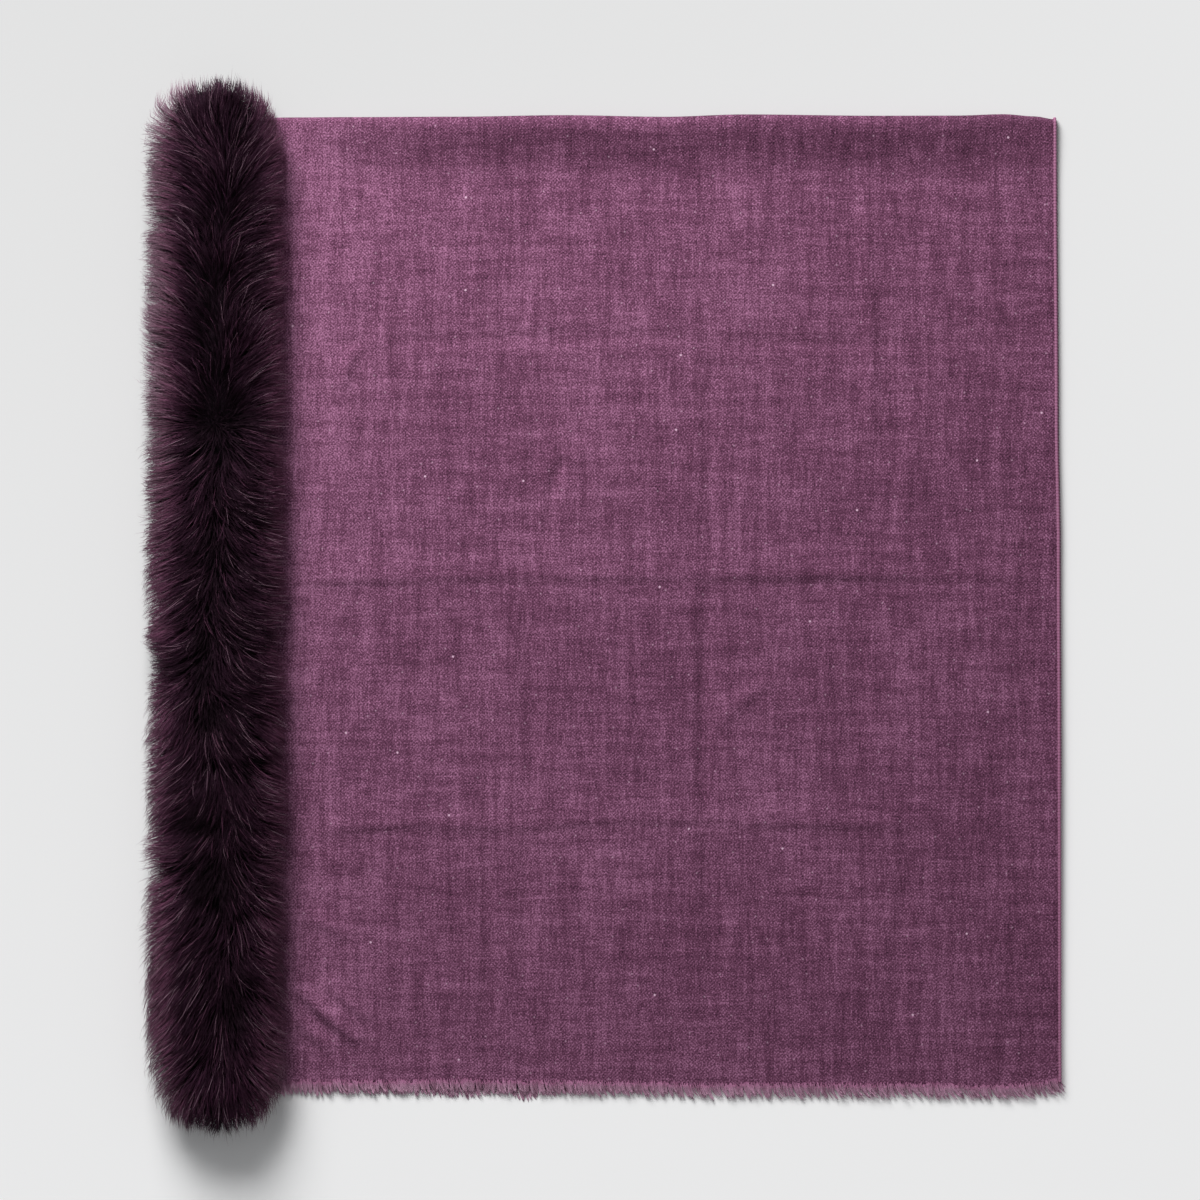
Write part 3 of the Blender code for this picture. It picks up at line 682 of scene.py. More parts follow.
def read(rows, column, place):
    """The named column of a table in millimetres, eased from each row to the next, in metres."""
    places = np.array([row[0] for row in rows]) * MM
    values = np.array([getattr(row, column) for row in rows]) * MM
    after = np.clip(np.searchsorted(places, place), 1, len(rows) - 1)
    step = ease((place - places[after - 1]) / (places[after] - places[after - 1]))
    return values[after - 1] + (values[after] - values[after - 1]) * step


def unit(vectors):
    """The vectors at length 1."""
    return vectors / np.maximum(np.linalg.norm(vectors, axis=-1, keepdims=True), 1e-12)


def wander(x, y, pitch, seed):
    """Smooth random relief from -1 to 1: numbers drawn on a square lattice, eased between."""
    size = 64
    drawn = np.random.default_rng(seed).uniform(-1, 1, (size, size))
    left, low = np.floor(x / pitch).astype(int), np.floor(y / pitch).astype(int)
    over, up = ease(x / pitch - left), ease(y / pitch - low)
    corner = drawn[left % size, low % size] * (1 - over)
    corner += drawn[(left + 1) % size, low % size] * over
    far = drawn[left % size, (low + 1) % size] * (1 - over)
    far += drawn[(left + 1) % size, (low + 1) % size] * over
    return corner * (1 - up) + far * up


def add_maps(mesh, name, values, size=1):
    """Adds the UV map that the finish reads, one pair of numbers for each point, and a copy of it
    divided by the size, from 0 to 1, that a bake can use."""
    corners = np.empty(len(mesh.loops), np.int32)
    mesh.loops.foreach_get("vertex_index", corners)
    for map_name, scale in ((name, 1), (BAKE_MAP, size)):
        layer = mesh.uv_layers.new(name=map_name)
        layer.uv.foreach_set("vector", (values[corners] / scale).astype(np.float32).ravel())


def make_piece(name, points, faces, finish):
    """Makes a smooth piece that rides with the wrap, from its points and faces."""
    mesh = bpy.data.meshes.new(name)
    mesh.from_pydata(points, [], faces)
    mesh.shade_smooth()
    mesh.materials.append(finish.material)
    piece = bpy.data.objects.new(name, mesh)
    bpy.context.scene.collection.objects.link(piece)
    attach(piece, "root")
    return piece


def grid_faces(rows, columns, around=False):
    """Quads of a grid of points, row after row; around joins its last column to its first."""
    row, column = np.meshgrid(
        np.arange(rows - 1), np.arange(columns if around else columns - 1), indexing="ij"
    )
    following = (column + 1) % columns
    quads = [
        row * columns + column,
        row * columns + following,
        (row + 1) * columns + following,
        (row + 1) * columns + column,
    ]
    return np.stack(quads, axis=-1).reshape(-1, 4)


def strands(paths, radii, sides):
    """Closed strands along paths (strands, stations, 3): rings of the radii at every station but
    the last, which is the tip. Returns points, faces, and each point's strand and share of the way.
    """
    count, stations = paths.shape[:2]
    way = unit(np.gradient(paths, axis=1))[:, :-1]
    across = unit(np.cross(way, ASLANT))
    third = np.cross(way, across)
    turn = np.arange(sides) / sides * 2 * np.pi
    ring = across[:, :, None] * np.cos(turn)[:, None] + third[:, :, None] * np.sin(turn)[:, None]
    rings = paths[:, :-1, None] + ring * radii[:, :, None, None]
    body = rings.reshape(count, -1, 3)
    points = np.concatenate([body, paths[:, -1:]], axis=1)

    size = points.shape[1]
    quads = grid_faces(stations - 1, sides, around=True)
    last = (stations - 2) * sides
    side = np.arange(sides)
    tips = np.stack([last + side, last + (side + 1) % sides, np.full(sides, size - 1)], axis=-1)
    root = side[::-1][None]
    starts = (np.arange(count) * size)[:, None, None]
    faces = []
    for kind in (quads, tips, root):
        faces += (kind + starts).reshape(-1, kind.shape[-1]).tolist()

    share = np.append(np.repeat(np.linspace(0, 1, stations)[:-1], sides), 1)
    owner = np.repeat(np.arange(count), size)
    return points.reshape(-1, 3), faces, owner, np.tile(share, count)


def joined(parts):
    """Points and faces of several meshes, given as (points, faces), as those of one mesh."""
    faces, start = [], 0
    for points, own_faces in parts:
        faces += [[corner + start for corner in face] for face in own_faces]
        start += len(points)
    return np.concatenate([points for points, own_faces in parts]), faces


def crease_relief(creases, across, down):
    """Sum of the creases: each is a two-sided bell across its line, easing out at its ends."""
    relief = np.zeros(np.broadcast(across, down).shape)
    for crease in creases:
        ax, ay, bx, by, rise, left, right, bow = np.array(crease) * MM
        length = np.hypot(bx - ax, by - ay)
        way_x = (bx - ax) / length
        way_y = (by - ay) / length
        run = ((across - ax) * way_x + (down - ay) * way_y) / length
        ends = np.maximum(np.sin(np.pi * np.clip(run, 0, 1)), 0)
        beside = (across - ax) * way_y - (down - ay) * way_x - bow * ends
        flank = np.where(beside > 0, left, right)
        relief += rise * np.exp(-((beside / flank) ** 2)) * np.sqrt(ends)
    return relief


def nose_size(across):
    """How far behind the fold its crest lies, which is a millimetre and six tenths of the crest's
    height, and how high the crest stands above the flat leaf."""
    swell = read(FOLD, "swell", across)
    return 0.6 * (LEAF_TOP + swell) + 1 * MM, swell


def leaf_height(across, down):
    """Height of the upper leaf's face: flat, with its creases, lifted edges, a slow heave of two
    sines, and the swollen fold, which sinks from its crest to the flat leaf in a smooth step."""
    hem = ease((down - FOLDED_LENGTH) / HEM_EASE + 1)
    selvedge = ease((across - PANEL_WIDTH) / PARTED_DEPTH + 1)
    lifts = read(HEM, "lift", across) * hem + read(SELVEDGE, "lift", down) * selvedge
    heave = HEAVE * np.sin(across / HEAVE_ACROSS * np.pi) * np.sin(down / HEAVE_DOWN * np.pi)
    loose = ease(across / SEAM_EASE)
    nose, swell = nose_size(across)
    slope = (down + read(FOLD, "reach", across) - nose) / (FOLD_REACH - nose)
    swollen = swell * (1 - ease(np.clip(slope - SLOPE_START, 0, 1) ** SLOPE_POWER))
    creases = crease_relief(CREASES, across, down)
    return LEAF_TOP + (creases + heave) * loose + lifts + swollen


def crumpled(across, down, depth):
    """Fine unevenness of the laid cloth: small creases, and two sizes of random relief."""
    relief = crease_relief(FINE_CREASES, across, down)
    for pitch, share, seed in CRUMPLES:
        relief += share * depth * wander(across, down, pitch, seed)
    away = ease(across / SEAM_EASE) * ease((FOLDED_LENGTH - down) / HEM_EASE + 0.3)
    return relief * away


def end_of_leaf(leaf, across):
    """How far down the leaf's frayed end lies."""
    return FOLDED_LENGTH + read(HEM, leaf, across)


def edge_shift(leaf, across, down):
    """How far the wander of a leaf's selvedge moves its points across."""
    free = ease((across - PANEL_WIDTH) / PARTED_DEPTH + 1)
    return read(SELVEDGE, leaf, np.clip(down, 0, FOLDED_LENGTH)) * free


def leaf_down(leaf, place, across):
    """Down of a leaf's row: its place, drawn to the wander of the frayed end."""
    return place + read(HEM, leaf, across) * ease((place - FOLDED_LENGTH) / HEM_EASE + 1)


def spaced(start, end, pitch, lines):
    """Places from start to end, about the pitch apart, and half of that near the lines."""
    place = np.linspace(start, end, 4000)
    weight = 1 + sum(np.exp(-(((place - line * MM) / LINE_EASE) ** 2)) for line in lines)
    way = np.append(0, np.cumsum(weight[1:]))
    count = round(way[-1] * abs(place[1] - place[0]) / pitch) + 1
    return np.interp(np.linspace(0, way[-1], count), way, place)


def cloth_surface(across, cell, depth):
    """The sheet's outer face as rows of points from the upper leaf's end, over the fold, to the
    lower leaf's end. The upper leaf is leaf_height with the fine relief, the fold is half an
    ellipse from the crest to the floor, and the lower leaf lies on the floor, in coarse rows where
    it is hidden.
    """
    rows = []

    def add_rows(leaf, down, height):
        down, height, x = np.broadcast_arrays(down, height, across)
        x = x + edge_shift(leaf, across, down)
        rows.append(np.stack([SEAM_X + x, FOLD_Y - down, height], axis=-1))

    def steps(start, end, pitch):
        return np.linspace(start, end, max(2, round(abs(end - start) / pitch)), endpoint=False)

    nose, swell = nose_size(across)
    reach = read(FOLD, "reach", across)
    place = spaced(FOLDED_LENGTH, FOLD_REACH, cell, LEVEL_LINES)[:-1, None]
    down = leaf_down("upper", place, across)
    add_rows("upper", down, leaf_height(across, down) + crumpled(across, down, depth))
    share = steps(1, 0, cell / FOLD_REACH)[:, None]
    down = nose + share * (FOLD_REACH - nose) - reach
    add_rows("upper", down, leaf_height(across, down) + crumpled(across, down, depth) * share)
    turn = np.linspace(np.pi / 2, -np.pi / 2, FOLD_ROWS)[:, None]
    middle = (LEAF_TOP + swell) / 2
    add_rows("upper", nose * (1 - np.cos(turn)) - reach, middle * (1 + np.sin(turn)))
    parted = FOLDED_LENGTH - PARTED_DEPTH
    hidden = steps(FOLD_REACH, parted, 5 * cell)
    showing = steps(parted, FOLDED_LENGTH, 2 * cell)
    place = np.concatenate([hidden, showing, [FOLDED_LENGTH]])[:, None]
    add_rows("lower", leaf_down("lower", place, across), 0)
    return np.concatenate(rows)


def developed(points):
    """Length of cloth from the first row of points to each row."""
    steps = np.linalg.norm(np.diff(points, axis=0), axis=-1).mean(axis=1)
    return np.concatenate([[0], np.cumsum(steps)])


def twill_finish(settings, width, length):
    """Heathered wool twill: slanting ribs of short yarn floats, slubs both ways, soft mottling and a
    few pale flecks. The map gives metres across and along the sheet."""
    constants = {
        "Roughness": 0.88,
        "Specular IOR Level": 0.15,
        "Sheen Weight": 0.02,
        "Sheen Roughness": 0.5,
        "Sheen Tint": (*linear(214, 176, 200), 1),
    }
    finish = Finish("heathered_twill", constants)
    across, along = finish.map("cloth")
    kinds = (UPRIGHT_SLUBS, LEVEL_SLUBS, MOTTLE, GRAIN, SHADING)
    noises = [finish.pattern(kind, across, along) for kind in kinds]
    slubs, mottle, grain = noises[0], noises[2], noises[3]
    slip = (mottle - 0.5) * RIB_SLIP
    ribs = ((across - along) * (2 * np.pi / settings.wale) + slip).sine()
    floats = ((across + along) * (2 * np.pi / settings.yarn) - slip).sine()
    tone = TWILL_TONE + ribs * RIB_TONE + floats * FLOAT_TONE
    for noise, kind in zip(noises, kinds):
        tone = tone + (noise - 0.5) * kind.weight
    tone = tone + finish.spots(SPECKLES, across, along)
    # Painted light: lighter towards the seam, for the lamp's falloff across the cloth.
    tone = tone + (0.5 - across / width) * SIDE_PAINTED_LIGHT
    # The seam band is painted light and the fold band is painted shade; the selvedge and end bands
    # are the cloth's own paler edges.
    bands = (
        (across, 0, 1, SEAM_PAINTED_LIGHT),
        (along, length / 2, -1, FOLD_PAINTED_SHADE),
        (across, width, -1, SELVEDGE_BAND),
        (along, 0, 1, END_BAND),
        (along, length, -1, END_BAND),
    )
    for place, line, side, band in bands:
        begin, full = line + side * band.begin, line + side * band.full
        tone = tone + finish.step(place, begin, full) * band.tone
    colours = [(0.0, settings.deep), (0.5, settings.middle), (1.0, settings.pale)]
    colour = finish.ramp(tone, colours)
    pale = (*settings.fleck, 1)
    colour = finish.mix(finish.spots(SPECKS, across, along), colour, pale)
    finish.colour(finish.mix(finish.spots(FLECKS, along, across), colour, pale))
    relief = TWILL_RELIEF
    height = ribs * relief.ribs + floats * relief.floats
    height = height + grain * relief.grain + slubs * relief.slubs
    finish.bump(height, relief.strength, relief.height)
    return finish


class WRAP_OT_cloth(bpy.types.Operator):
    """Make the folded sheet of twill, with its creases"""

    bl_idname = "wrap.cloth"
    bl_label = "Make the cloth"

    def execute(self, context):
        settings = context.scene.wrap_cloth
        across = spaced(0, PANEL_WIDTH, settings.cell, UPRIGHT_LINES)
        points = cloth_surface(across, settings.cell, settings.crumple)
        rows, columns = points.shape[:2]
        along = developed(points)
        finish = twill_finish(settings, PANEL_WIDTH, along[-1])
        faces = grid_faces(rows, columns)
        piece = make_piece("wool_twill", points.reshape(-1, 3), faces.tolist(), finish)
        place = np.stack(np.broadcast_arrays(across, along[:, None]), axis=-1).reshape(-1, 2)
        add_maps(piece.data, "cloth", place, size=along[-1])
        shell = piece.modifiers.new("thickness", "SOLIDIFY")
        shell.thickness = settings.thickness
        shell.offset = -1
        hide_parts("wool_panel")
        return {"FINISHED"}


class WRAP_OT_selvedges(bpy.types.Operator):
    """Make the rolled selvedge that runs round the open edge of both leaves"""

    bl_idname = "wrap.selvedges"
    bl_label = "Make the selvedges"

    def execute(self, context):
        # An ellipse carried along the sheet's edge, its radius swelling with a sine of the way
        settings = context.scene.wrap_cloth
        edge = cloth_surface(np.array([0, PANEL_WIDTH]), settings.cell, 0)[:, 1]
        along = developed(edge[:, None])
        rings = round(along[-1] / NOTCH) * RINGS_TO_A_NOTCH
        place = np.linspace(0, along[-1], rings)
        line = np.stack([np.interp(place, along, edge[:, axis]) for axis in range(3)], axis=-1)
        way = unit(np.gradient(line, axis=0))
        inward = unit(np.cross(way, (-1, 0, 0)))
        line += inward * settings.thickness / 2 - np.array([settings.selvedge_radius / 2, 0, 0])
        turn = np.arange(settings.loops) / settings.loops * 2 * np.pi
        notch = np.sin(place / NOTCH * 2 * np.pi)
        radius = (settings.selvedge_radius * (1 + NOTCH_DEPTH * notch))[:, None, None]
        sideways = np.cos(turn)[:, None] * np.array([1, 0, 0]) * ROLL_WIDTH
        upward = np.sin(turn)[:, None] * inward[:, None]
        points = line[:, None] + radius * (sideways + upward)
        points[..., 2] = np.maximum(points[..., 2], 0)
        faces = grid_faces(rings, settings.loops, around=True).tolist()
        last = (rings - 1) * settings.loops
        faces.append(list(range(settings.loops))[::-1])
        faces.append([last + side for side in range(settings.loops)])
        finish = yarn_finish("selvedge_yarn", settings.selvedge, settings.selvedge)
        piece = make_piece("selvedge_roll", points.reshape(-1, 3), faces, finish)
        # Painted light and shade: lighter where the roll swells, darker in each notch.
        tone = np.repeat(0.5 + NOTCH_PAINTED_SHADING * notch, settings.loops)
        add_maps(piece.data, "yarn", np.stack([tone, np.full(len(tone), 0.5)], axis=-1))
        return {"FINISHED"}


def yarn_finish(name, root, tip):
    """Loose wool yarn. The map gives each yarn's tone and the share of the way to its tip."""
    constants = {
        "Roughness": 0.9,
        "Specular IOR Level": 0.15,
        "Sheen Weight": 0.02,
        "Sheen Roughness": 0.5,
    }
    finish = Finish(name, constants)
    tone, share = finish.map("yarn")
    # Paler towards the tip: for the frayed ends partly their own colour, partly painted light.
    colour = finish.mix(share, (*root, 1), (*tip, 1))
    twist = finish.noise(tone * 40, share * 14)
    shade = finish.ramp(tone * 0.7 + twist * 0.5, [(0.2, (0.62, 0.51, 0.56)), (0.95, WHITE)])
    finish.colour(finish.mix(1.0, colour, shade, "MULTIPLY"))
    return finish


def frayed_paths(leaf, root, tip_shift, length, rise, depth, stations, thickness):
    """Paths of frayed yarns: from inside the leaf's end straight out, straying sideways with a
    power of the way, and sinking in a smooth step from the leaf's height to their own."""
    share = stations[None]
    across = (root + edge_shift(leaf, root, FOLDED_LENGTH))[:, None]
    start = end_of_leaf(leaf, root)
    if leaf == "upper":
        high = leaf_height(root, start) + ROOT_RISE
        low = UPPER_TIPS + rise
    else:
        high = np.full(len(root), thickness)
        low = LOWER_TIPS + rise * LOWER_RISE
    past = (length + depth)[:, None] * share - depth[:, None]
    sunk = ease(np.maximum(past, 0) / length[:, None])
    x = SEAM_X + across + tip_shift[:, None] * share**STRAY_POWER
    y = FOLD_Y - start[:, None] - past
    z = high[:, None] + (low - high)[:, None] * sunk
    return np.stack(np.broadcast_arrays(x, y, z), axis=-1)


def frayed_yarns(leaf, settings, thickness, rng):
    """Strands of the yarns of a leaf's frayed end, drawn together into uneven clumps, and the tone
    of each yarn."""
    count = round(PANEL_WIDTH / settings.pitch)
    root = np.arange(count) + 0.5 + rng.uniform(-YARN_SCATTER, YARN_SCATTER, count)
    root = root * settings.pitch
    bounds = np.cumsum(np.append(0, rng.uniform(*CLUMP_WIDTHS, count)))
    clump = np.searchsorted(bounds, root)
    middle = (bounds[clump - 1] + bounds[clump]) / 2
    length = settings.length * rng.uniform(*CLUMP_LENGTHS, count)[clump]
    length *= rng.uniform(*YARN_LENGTHS, count)
    lean = np.interp(root, LEAN_PLACES, LEANS) + rng.normal(0, CLUMP_LEAN, count)[clump]
    shift = (middle - root) * rng.uniform(*CLUMP_DRAW, count)[clump] + lean * length
    rise = rng.uniform(*CLUMP_RISES, count)[clump] * MM
    depth = rng.uniform(*ROOT_DEPTHS, count)
    paths = frayed_paths(leaf, root, shift, length, rise, depth, YARN_STATIONS, thickness)
    radii = settings.radius * YARN_TAPER * rng.uniform(*YARN_WIDTHS, (count, 1))
    tones = CLUMP_TONE * rng.uniform(0, 1, count)[clump]
    tones += (1 - CLUMP_TONE) * rng.uniform(0, 1, count)
    return strands(paths, radii, STRAND_SIDES), tones


def frayed_wisps(leaf, settings, thickness, rng):
    """Strands of the wisps of fibres at a leaf's frayed end, and the pale tone of each fibre."""
    wisps = settings.wisps
    wisp = np.repeat(np.arange(wisps), FIBRES)
    fibres = len(wisp)
    root = rng.uniform(0, PANEL_WIDTH, wisps)[wisp] + rng.normal(0, FIBRE_SCATTER, fibres)
    root = np.clip(root, 0, PANEL_WIDTH)
    length = settings.length * rng.uniform(*WISP_LENGTHS, wisps)[wisp]
    length *= rng.uniform(*FIBRE_LENGTHS, fibres)
    lean = np.interp(root, LEAN_PLACES, LEANS) + rng.normal(*WISP_LEAN, wisps)[wisp]
    shift = np.clip(lean, *LEAN_LIMITS) * length
    rise = rng.uniform(*WISP_RISES, wisps)[wisp] * MM + rng.uniform(*FIBRE_RISES, fibres) * MM
    depth = rng.uniform(*ROOT_DEPTHS, wisps)[wisp] * rng.uniform(*FIBRE_DEPTHS, fibres)
    paths = frayed_paths(leaf, root, shift, length, rise, depth, FIBRE_STATIONS, thickness)
    radii = FIBRE_RADIUS * FIBRE_TAPER * rng.uniform(*FIBRE_WIDTHS, (fibres, 1))
    return strands(paths, radii, STRAND_SIDES), rng.uniform(*WISP_TONES, fibres)


def make_strands(name, parts, map_name, finish):
    """One piece from parts, each the result of strands and its strands' tones. Its map gives each
    strand's tone and the share of the way to its tip. Nothing sinks under the floor."""
    points, faces = joined([strand[:2] for strand, tones in parts])
    points[:, 2] = np.maximum(points[:, 2], 0)
    tone = np.concatenate([tones[strand[2]] for strand, tones in parts])
    share = np.concatenate([strand[3] for strand, tones in parts])
    piece = make_piece(name, points, faces, finish)
    add_maps(piece.data, map_name, np.stack([tone, share], axis=-1))
    return piece


def make_fringe(name, node, leaf, settings, thickness, finish, seed):
    """A leaf's frayed end: its yarns and wisps."""
    rng = np.random.default_rng(seed)
    makers = (frayed_yarns, frayed_wisps)
    parts = [maker(leaf, settings, thickness, rng) for maker in makers]
    piece = make_strands(name, parts, "yarn", finish)
    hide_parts(node)


class WRAP_OT_fringes(bpy.types.Operator):
    """Make the frayed ends of both leaves"""

    bl_idname = "wrap.fringes"
    bl_label = "Make the frayed ends"

    def execute(self, context):
        settings = context.scene.wrap_fringe
        thickness = context.scene.wrap_cloth.thickness
        finish = yarn_finish("frayed_yarn", settings.root, settings.tip)
        for leaf, seed in (("upper", UPPER_SEED), ("lower", LOWER_SEED)):
            names = f"frayed_{leaf}", f"fringe_{leaf}"
            make_fringe(*names, leaf, settings, thickness, finish, seed)
        return {"FINISHED"}


def coat_reaches(along, inset):
    """Reaches of the roll's section to the left, right, up and down, drawn in by the inset at the
    flanks, the crown and both ends. The underside stays near its place, as it rests on the floor."""
    top, low = (TOP_INSET, LOW_INSET) if inset else (0, 0)
    place = (along - top) / (FUR_LENGTH - top - low) * FUR_LENGTH
    left, right, crown, belly = (read(FUR, name, place) for name in FurRow._fields[1:])
    if inset:
        full = onset(place, 40 * MM, 60 * MM) * onset(place, FUR_LENGTH - 30 * MM, -40 * MM)
        ends = np.minimum(place, FUR_LENGTH - place) / SKIN_CLOSING
        closed = np.sqrt(np.clip(ends, SKIN_CLOSED, 1))
        right = right * (1 - RIGHT_INSET / FULL_COAT * full) * closed
        left, crown = left * closed, crown * closed
        belly = belly - SKIN_LIFT
    sides = (1 - inset / FULL_COAT) * np.stack([left, right])
    return [np.maximum(reach, LEAST) for reach in (*sides, crown * (1 - inset / CROWN), belly)]


def coat_point(along, angle, inset):
    """Point on the roll drawn in by an inset: a super-ellipse section at each place along the roll,
    cut flat where it rests on the floor. The angle runs from the right over the crown."""
    left, right, crown, belly = coat_reaches(along, inset)
    wide = np.sign(np.cos(angle)) * np.abs(np.cos(angle)) ** (2 / FUR_POWER)
    high = np.sign(np.sin(angle)) * np.abs(np.sin(angle)) ** (2 / FUR_POWER)
    x = FUR_AXIS_X + wide * np.where(wide < 0, left, right)
    z = FUR_AXIS_Z + high * np.where(high < 0, belly / FUR_FOOT, crown)
    z = np.maximum(z, FUR_AXIS_Z - belly)
    return np.stack(np.broadcast_arrays(x, FUR_TOP_Y - along, z), axis=-1)


def coat_measure(points):
    """Super-ellipse measure of points in the roll: 0 on its axis and 1 on the coat's surface."""
    left, right, crown, belly = coat_reaches(FUR_TOP_Y - points[..., 1], 0)
    x = points[..., 0] - FUR_AXIS_X
    z = points[..., 2] - FUR_AXIS_Z
    wide = np.abs(x) / np.where(x < 0, left, right)
    high = np.abs(z) / np.where(z < 0, belly / FUR_FOOT, crown)
    return wide**FUR_POWER + high**FUR_POWER


def outward(points):
    """Direction out of the coat: the slope of its measure, from differences of a millimetre."""
    slopes = [coat_measure(points + step) - coat_measure(points - step) for step in np.eye(3) * MM]
    return unit(np.stack(slopes, axis=-1))


def lie_of_hair(points, out, turn):
    """Direction in which the hair lies: along the roll at the parting, away from the whorl, and
    turning outwards and down the flanks with a power of the way from the parting. At both ends it
    fans out from a middle point. What points out of the coat is then taken away, less at the ends.
    """
    along = FUR_TOP_Y - points[..., 1]
    aside = points[..., 0] - FUR_AXIS_X - read(PARTING, "aside", along)
    aside = aside + PARTING_WANDER * wander(along, 0 * along, PARTING_PITCH, PARTING_SEED)
    spread = np.clip(np.abs(aside) / HALF_COAT, 0, 1) ** OPENING
    widest = np.where(aside < 0, read(PARTING, "left", along), read(PARTING, "right", along)) / MM
    heading = np.sign(aside) * spread * np.radians(widest) + turn
    towards = np.tanh((along - WHORL_ALONG) / WHORL_EASE)
    sideways = np.sin(heading)
    lengthwise = towards * np.cos(heading)
    for centre, end in ((FAN_TOP, -1), (FAN_LOW, 1)):
        past = (along - centre) * end
        fan = ease(past / FAN_EASE)
        ray = np.arctan2(aside, np.maximum(past, MM)) + turn
        sideways += (np.sin(ray) - sideways) * fan
        lengthwise += (end * np.cos(ray) - lengthwise) * fan
    downwards = -np.abs(sideways * out[..., 0])
    lie = np.stack([sideways * out[..., 2], -lengthwise, downwards], axis=-1)
    straight = END_STRAIGHT * out[..., 1] ** 2
    lie -= ((lie * out).sum(axis=-1) * (1 - straight))[..., None] * out
    return unit(lie)


def grow(roots, length, turn, curl, kind):
    """Traces hairs from their roots in steps: each step goes partly out of the coat and partly
    along the lie of the hair, more so towards the tip and less on the flanks."""
    points = [roots]
    for share, stand in zip(kind.shares, kind.stands):
        here = points[-1]
        out = outward(here)
        firm = stand + (1 - stand) * FLANK_STAND * np.abs(out[..., :1]) ** 2
        way = unit(out * firm + lie_of_hair(here, out, turn) * (1 - firm))
        points.append(here + way * (length * share)[..., None])
        turn = turn + curl
    return np.stack(points, axis=-2)


def raised(points):
    """The points, lifted clear of the cloth or the floor where they would sink into it."""
    across = points[..., 0] - SEAM_X
    down = FOLD_Y - points[..., 1]
    inside = np.clip(across, 0, PANEL_WIDTH)
    crest = nose_size(inside)[0]
    top = leaf_height(inside, np.clip(down, crest, FOLDED_LENGTH))
    over = (across > -PAST_SEAM) & (down > -PAST_FOLD) & (down < FOLDED_LENGTH + PAST_END)
    points[..., 2] = np.maximum(points[..., 2], np.where(over, top, 0) + CLEARANCE)
    return points


def hollow_share(along, aside):
    """How far inside a hollow a root lies, which shortens its hair and darkens it with painted
    shade: 1 at its middle, 0 outside.
    """
    share = 0
    for hollow in HOLLOWS:
        place = (along - hollow.along * MM) / (hollow.half_along * MM)
        side = (aside - hollow.aside * MM) / (hollow.half_aside * MM)
        share = np.maximum(share, hollow.depth * np.exp(-(place**2) - side**2))
    return share


def scatter_locks(count, inset, rng):
    """Places of the locks, (along, angle), spread evenly over the skin's area."""
    along = np.linspace(TOP_INSET, FUR_LENGTH - LOW_INSET, 400)
    angle = np.linspace(-COAT_LOW_ANGLE, np.pi + COAT_LOW_ANGLE, 120)
    skin = coat_point(along[:, None], angle, inset)
    over = np.diff(skin, axis=0)[:, :-1]
    round_ = np.diff(skin, axis=1)[:-1]
    area = np.linalg.norm(np.cross(over, round_), axis=-1)
    chosen = np.sort(rng.choice(area.size, count, p=(area / area.sum()).ravel()))
    row, column = np.divmod(chosen, area.shape[1])
    return (
        along[row] + rng.random(count) * (along[1] - along[0]),
        angle[column] + rng.random(count) * (angle[1] - angle[0]),
    )


def coat_of_hair(along, angle, per_lock, kind, settings, rng):
    """Hair of the locks at (along, angle): each hair grows near its lock's root and is drawn to the
    lock's own line towards its tip. Returns the paths, radii, and each hair's place and hollow."""
    locks = len(along)
    shape = (locks, per_lock)
    inset = settings.inset
    aside = (angle - np.pi / 2) * HALF_COAT
    turn = rng.normal(0, LOCK_TURN, locks)
    for pitch, sway, seed in SWAYS:
        turn += sway * wander(along, aside, pitch, seed)
    turn = turn[:, None]
    curl = CURL * wander(along, aside, CURL_PITCH, CURL_SEED)[:, None]
    lock_length = settings.length * kind.long * rng.uniform(*LOCK_LENGTHS, locks)[:, None]
    middle = grow(coat_point(along, angle, inset)[:, None], lock_length, turn, curl, kind)
    spread = settings.lock_width / 2
    near = along[:, None] + rng.normal(0, spread, shape)
    near = np.clip(near, TOP_INSET, FUR_LENGTH - LOW_INSET)
    round_ = angle[:, None] + rng.normal(0, spread / HALF_COAT * ROUND_SPREAD, shape)
    round_ = np.clip(round_, -COAT_LOW_ANGLE, np.pi + COAT_LOW_ANGLE)
    roots = coat_point(near, round_, inset)
    aside = roots[..., 0] - FUR_AXIS_X
    hollow = hollow_share(near, aside)
    thinned = CLOTH_SHORT * onset(aside, 14 * MM, 20 * MM) * rng.random(shape)
    top = onset(near, TOP_INSET, END_HAIR)
    low = onset(near, FUR_LENGTH - LOW_INSET, -END_HAIR)
    inner = np.minimum(top, low)
    own_length = lock_length * rng.uniform(*HAIR_LENGTHS, shape)
    own_length *= 1 - HOLLOW_SHORT * hollow - thinned
    own_length *= 1 - (1 - top) * rng.uniform(*TOP_SHORT, shape)
    own_length *= 1 - (1 - low) * rng.uniform(*LOW_SHORT, shape)
    ruffle = END_RUFFLE + (1 - END_RUFFLE) * inner
    own_turn = turn + rng.normal(0, HAIR_TURN, shape) * ruffle
    paths = grow(roots, own_length, own_turn, curl, kind)
    share = np.cumsum(np.append(0, kind.shares))[:, None]
    firm = CLUMPING * (1 - LOOSE_FLANK * onset(np.abs(aside), 20 * MM, 30 * MM))
    firm = firm * (1 - LOOSE_END * (1 - inner))
    drawn = (firm * rng.uniform(*DRAWN, shape))[..., None, None]
    paths += (middle - paths) * share**CLUMPING_POWER * drawn
    paths = raised(paths.reshape(-1, *paths.shape[2:]))
    radii = settings.radius * kind.thick * np.array(kind.taper)
    radii = radii * rng.uniform(*HAIR_WIDTHS, (len(paths), 1))
    return paths, radii, near.ravel(), aside.ravel(), hollow.ravel()


